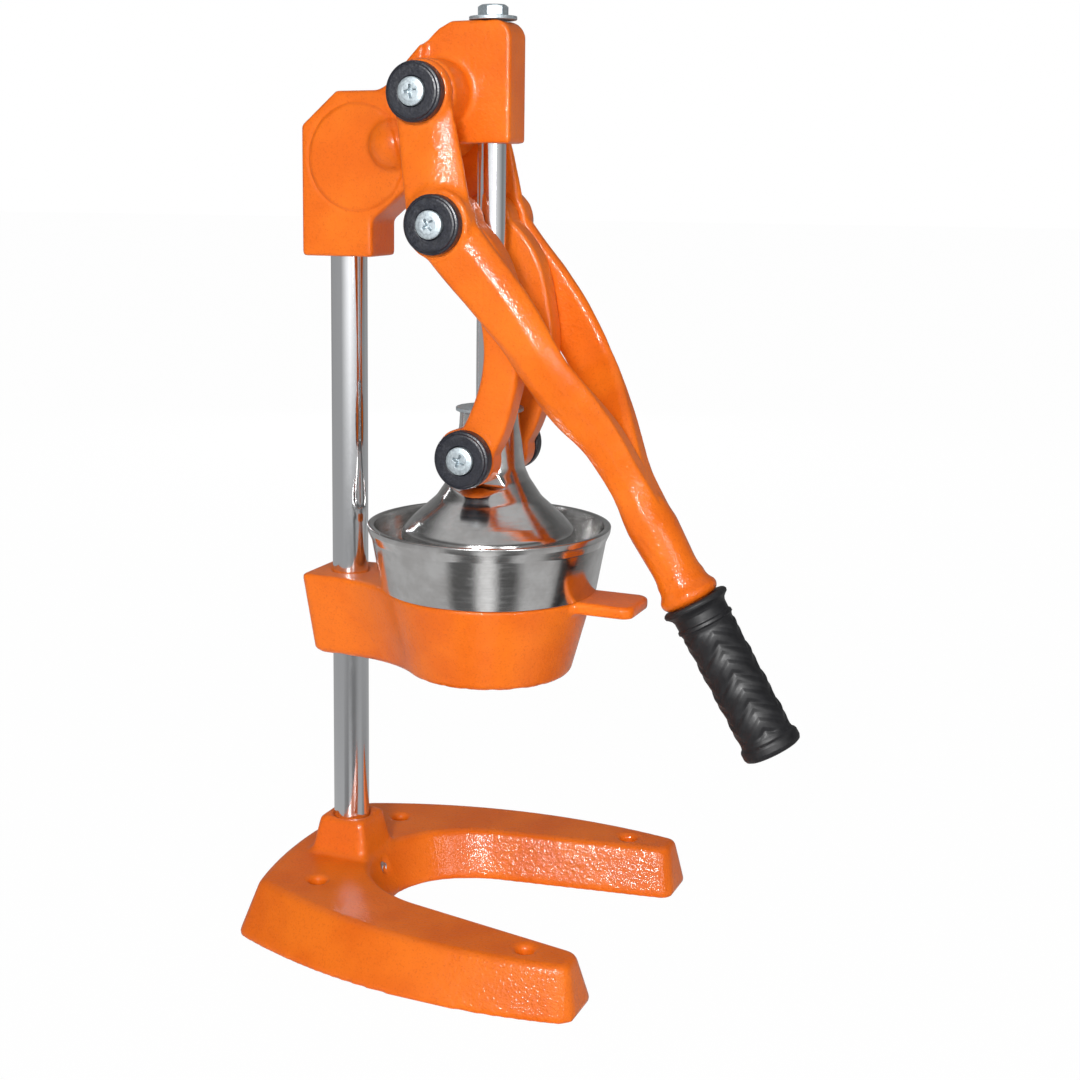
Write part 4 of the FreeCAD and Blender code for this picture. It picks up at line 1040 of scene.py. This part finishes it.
def room():
    """A white background, and a softly lit room that only the reflections see."""
    world = bpy.data.worlds.new("studio")
    bpy.context.scene.world = world
    world.use_nodes = True
    tree = world.node_tree
    tree.nodes.clear()

    def node(kind, **settings):
        made = tree.nodes.new(kind)
        for name, setting in settings.items():
            setattr(made, name, setting)
        return made

    output = node("ShaderNodeOutputWorld")
    path = node("ShaderNodeLightPath")
    white, mirrored, ambient = (node("ShaderNodeBackground") for _ in range(3))
    white.inputs["Color"].default_value = (1, 1, 1, 1)
    ambient.inputs["Strength"].default_value = AMBIENT_LEVEL
    by_gloss, by_camera = (node("ShaderNodeMixShader") for _ in range(2))
    tree.links.new(path.outputs["Is Glossy Ray"], by_gloss.inputs[0])
    tree.links.new(ambient.outputs[0], by_gloss.inputs[1])
    tree.links.new(mirrored.outputs[0], by_gloss.inputs[2])
    tree.links.new(path.outputs["Is Camera Ray"], by_camera.inputs[0])
    tree.links.new(by_gloss.outputs[0], by_camera.inputs[1])
    tree.links.new(white.outputs[0], by_camera.inputs[2])
    tree.links.new(by_camera.outputs[0], output.inputs["Surface"])

    place = node("ShaderNodeTexCoord")
    turned = []
    for direction in (ROOM_RIGHT, ROOM_FRONT):
        dot = node("ShaderNodeVectorMath", operation="DOT_PRODUCT")
        dot.inputs[1].default_value = direction
        tree.links.new(place.outputs["Generated"], dot.inputs[0])
        turned.append(dot.outputs["Value"])
    angle = node("ShaderNodeMath", operation="ARCTAN2")
    for socket, value in zip(angle.inputs, turned):
        tree.links.new(value, socket)
    around = node("ShaderNodeMapRange")
    for entry, value in zip(range(1, 5), (-math.pi, math.pi, 0.0, 1.0)):
        around.inputs[entry].default_value = value
    tree.links.new(angle.outputs[0], around.inputs[0])
    height = node("ShaderNodeSeparateXYZ")
    tree.links.new(place.outputs["Generated"], height.inputs[0])
    below, last = None, None
    for sine, strip in ROOM_BANDS:
        ramp = node("ShaderNodeValToRGB")
        while len(ramp.color_ramp.elements) < len(strip):
            ramp.color_ramp.elements.new(0.5)
        for element, (degrees, bright) in zip(ramp.color_ramp.elements, strip):
            element.position = (degrees + 180) / 360
            element.color = (*[bright / ROOM_BRIGHTEST] * 3, 1.0)
        tree.links.new(around.outputs[0], ramp.inputs["Fac"])
        if last is None:
            last = ramp.outputs["Color"]
        else:
            share = node("ShaderNodeMapRange", interpolation_type="SMOOTHSTEP")
            for entry, value in zip(range(1, 5), (below, sine, 0.0, 1.0)):
                share.inputs[entry].default_value = value
            tree.links.new(height.outputs["Z"], share.inputs[0])
            blend = node("ShaderNodeMix", data_type="RGBA")
            tree.links.new(share.outputs[0], blend.inputs[0])
            tree.links.new(last, blend.inputs[6])
            tree.links.new(ramp.outputs["Color"], blend.inputs[7])
            last = blend.outputs[2]
        below = sine
    tree.links.new(last, mirrored.inputs["Color"])
    mirrored.inputs["Strength"].default_value = ROOM_BRIGHTEST


def paper_floor():
    """A sheet of pale paper that fades into the white background."""
    half = FLOOR_HALF_M
    corners = [(-half, -half, 0), (half, -half, 0), (half, half, 0), (-half, half, 0)]
    mesh = bpy.data.meshes.new("studio_floor")
    mesh.from_pydata(corners, [], [(0, 1, 2, 3)])
    floor = bpy.data.objects.new("studio_floor", mesh)
    bpy.context.scene.collection.objects.link(floor)
    floor.visible_glossy = False
    paper = Shader("studio_paper")
    paper.set(roughness=0.9, specular_ior_level=0.1)
    grain = paper.noise(40.0, 2.0)
    paper.colour(paper.ramp(grain, [(0.3, (0.86, 0.86, 0.86)), (0.7, (0.88, 0.88, 0.88))]))
    seen = paper.add("ShaderNodeLightPath")
    glow = paper.add("ShaderNodeEmission")
    share = paper.add("ShaderNodeMath", operation="MULTIPLY")
    share.inputs[1].default_value = PAPER_WHITE
    paper.link(seen, "Is Camera Ray", share, 0)
    blend = paper.add("ShaderNodeMixShader")
    paper.link(share, 0, blend, 0)
    paper.link(paper.surface, "BSDF", blend, 1)
    paper.link(glow, "Emission", blend, 2)
    paper.link(blend, 0, paper.output, "Surface")
    mesh.materials.append(paper.material)


def lamps():
    """The lamps and the flash in front, and a lamp behind for the far side."""
    for name, at, aim, size, power, shades, shines in LAMPS:
        data = bpy.data.lights.new(name, "AREA")
        data.shape = "RECTANGLE"
        data.size, data.size_y = size
        data.energy = power
        lamp = bpy.data.objects.new(name, data)
        lamp.matrix_world = frame_at(at, Vector(at) - Vector(aim), (1, 0.01, 0))
        lamp.matrix_world.translation = Vector(at) * MM
        lamp.visible_diffuse = shades
        lamp.visible_glossy = shines
        bpy.context.scene.collection.objects.link(lamp)


make_camera()
paint_carried_nodes()
castings()
bars()
cup()
bell()
caps()
screws()
set_screws()
rod_end()
grip()
bpy.context.scene.view_settings.view_transform = "Standard"
room()
paper_floor()
lamps()
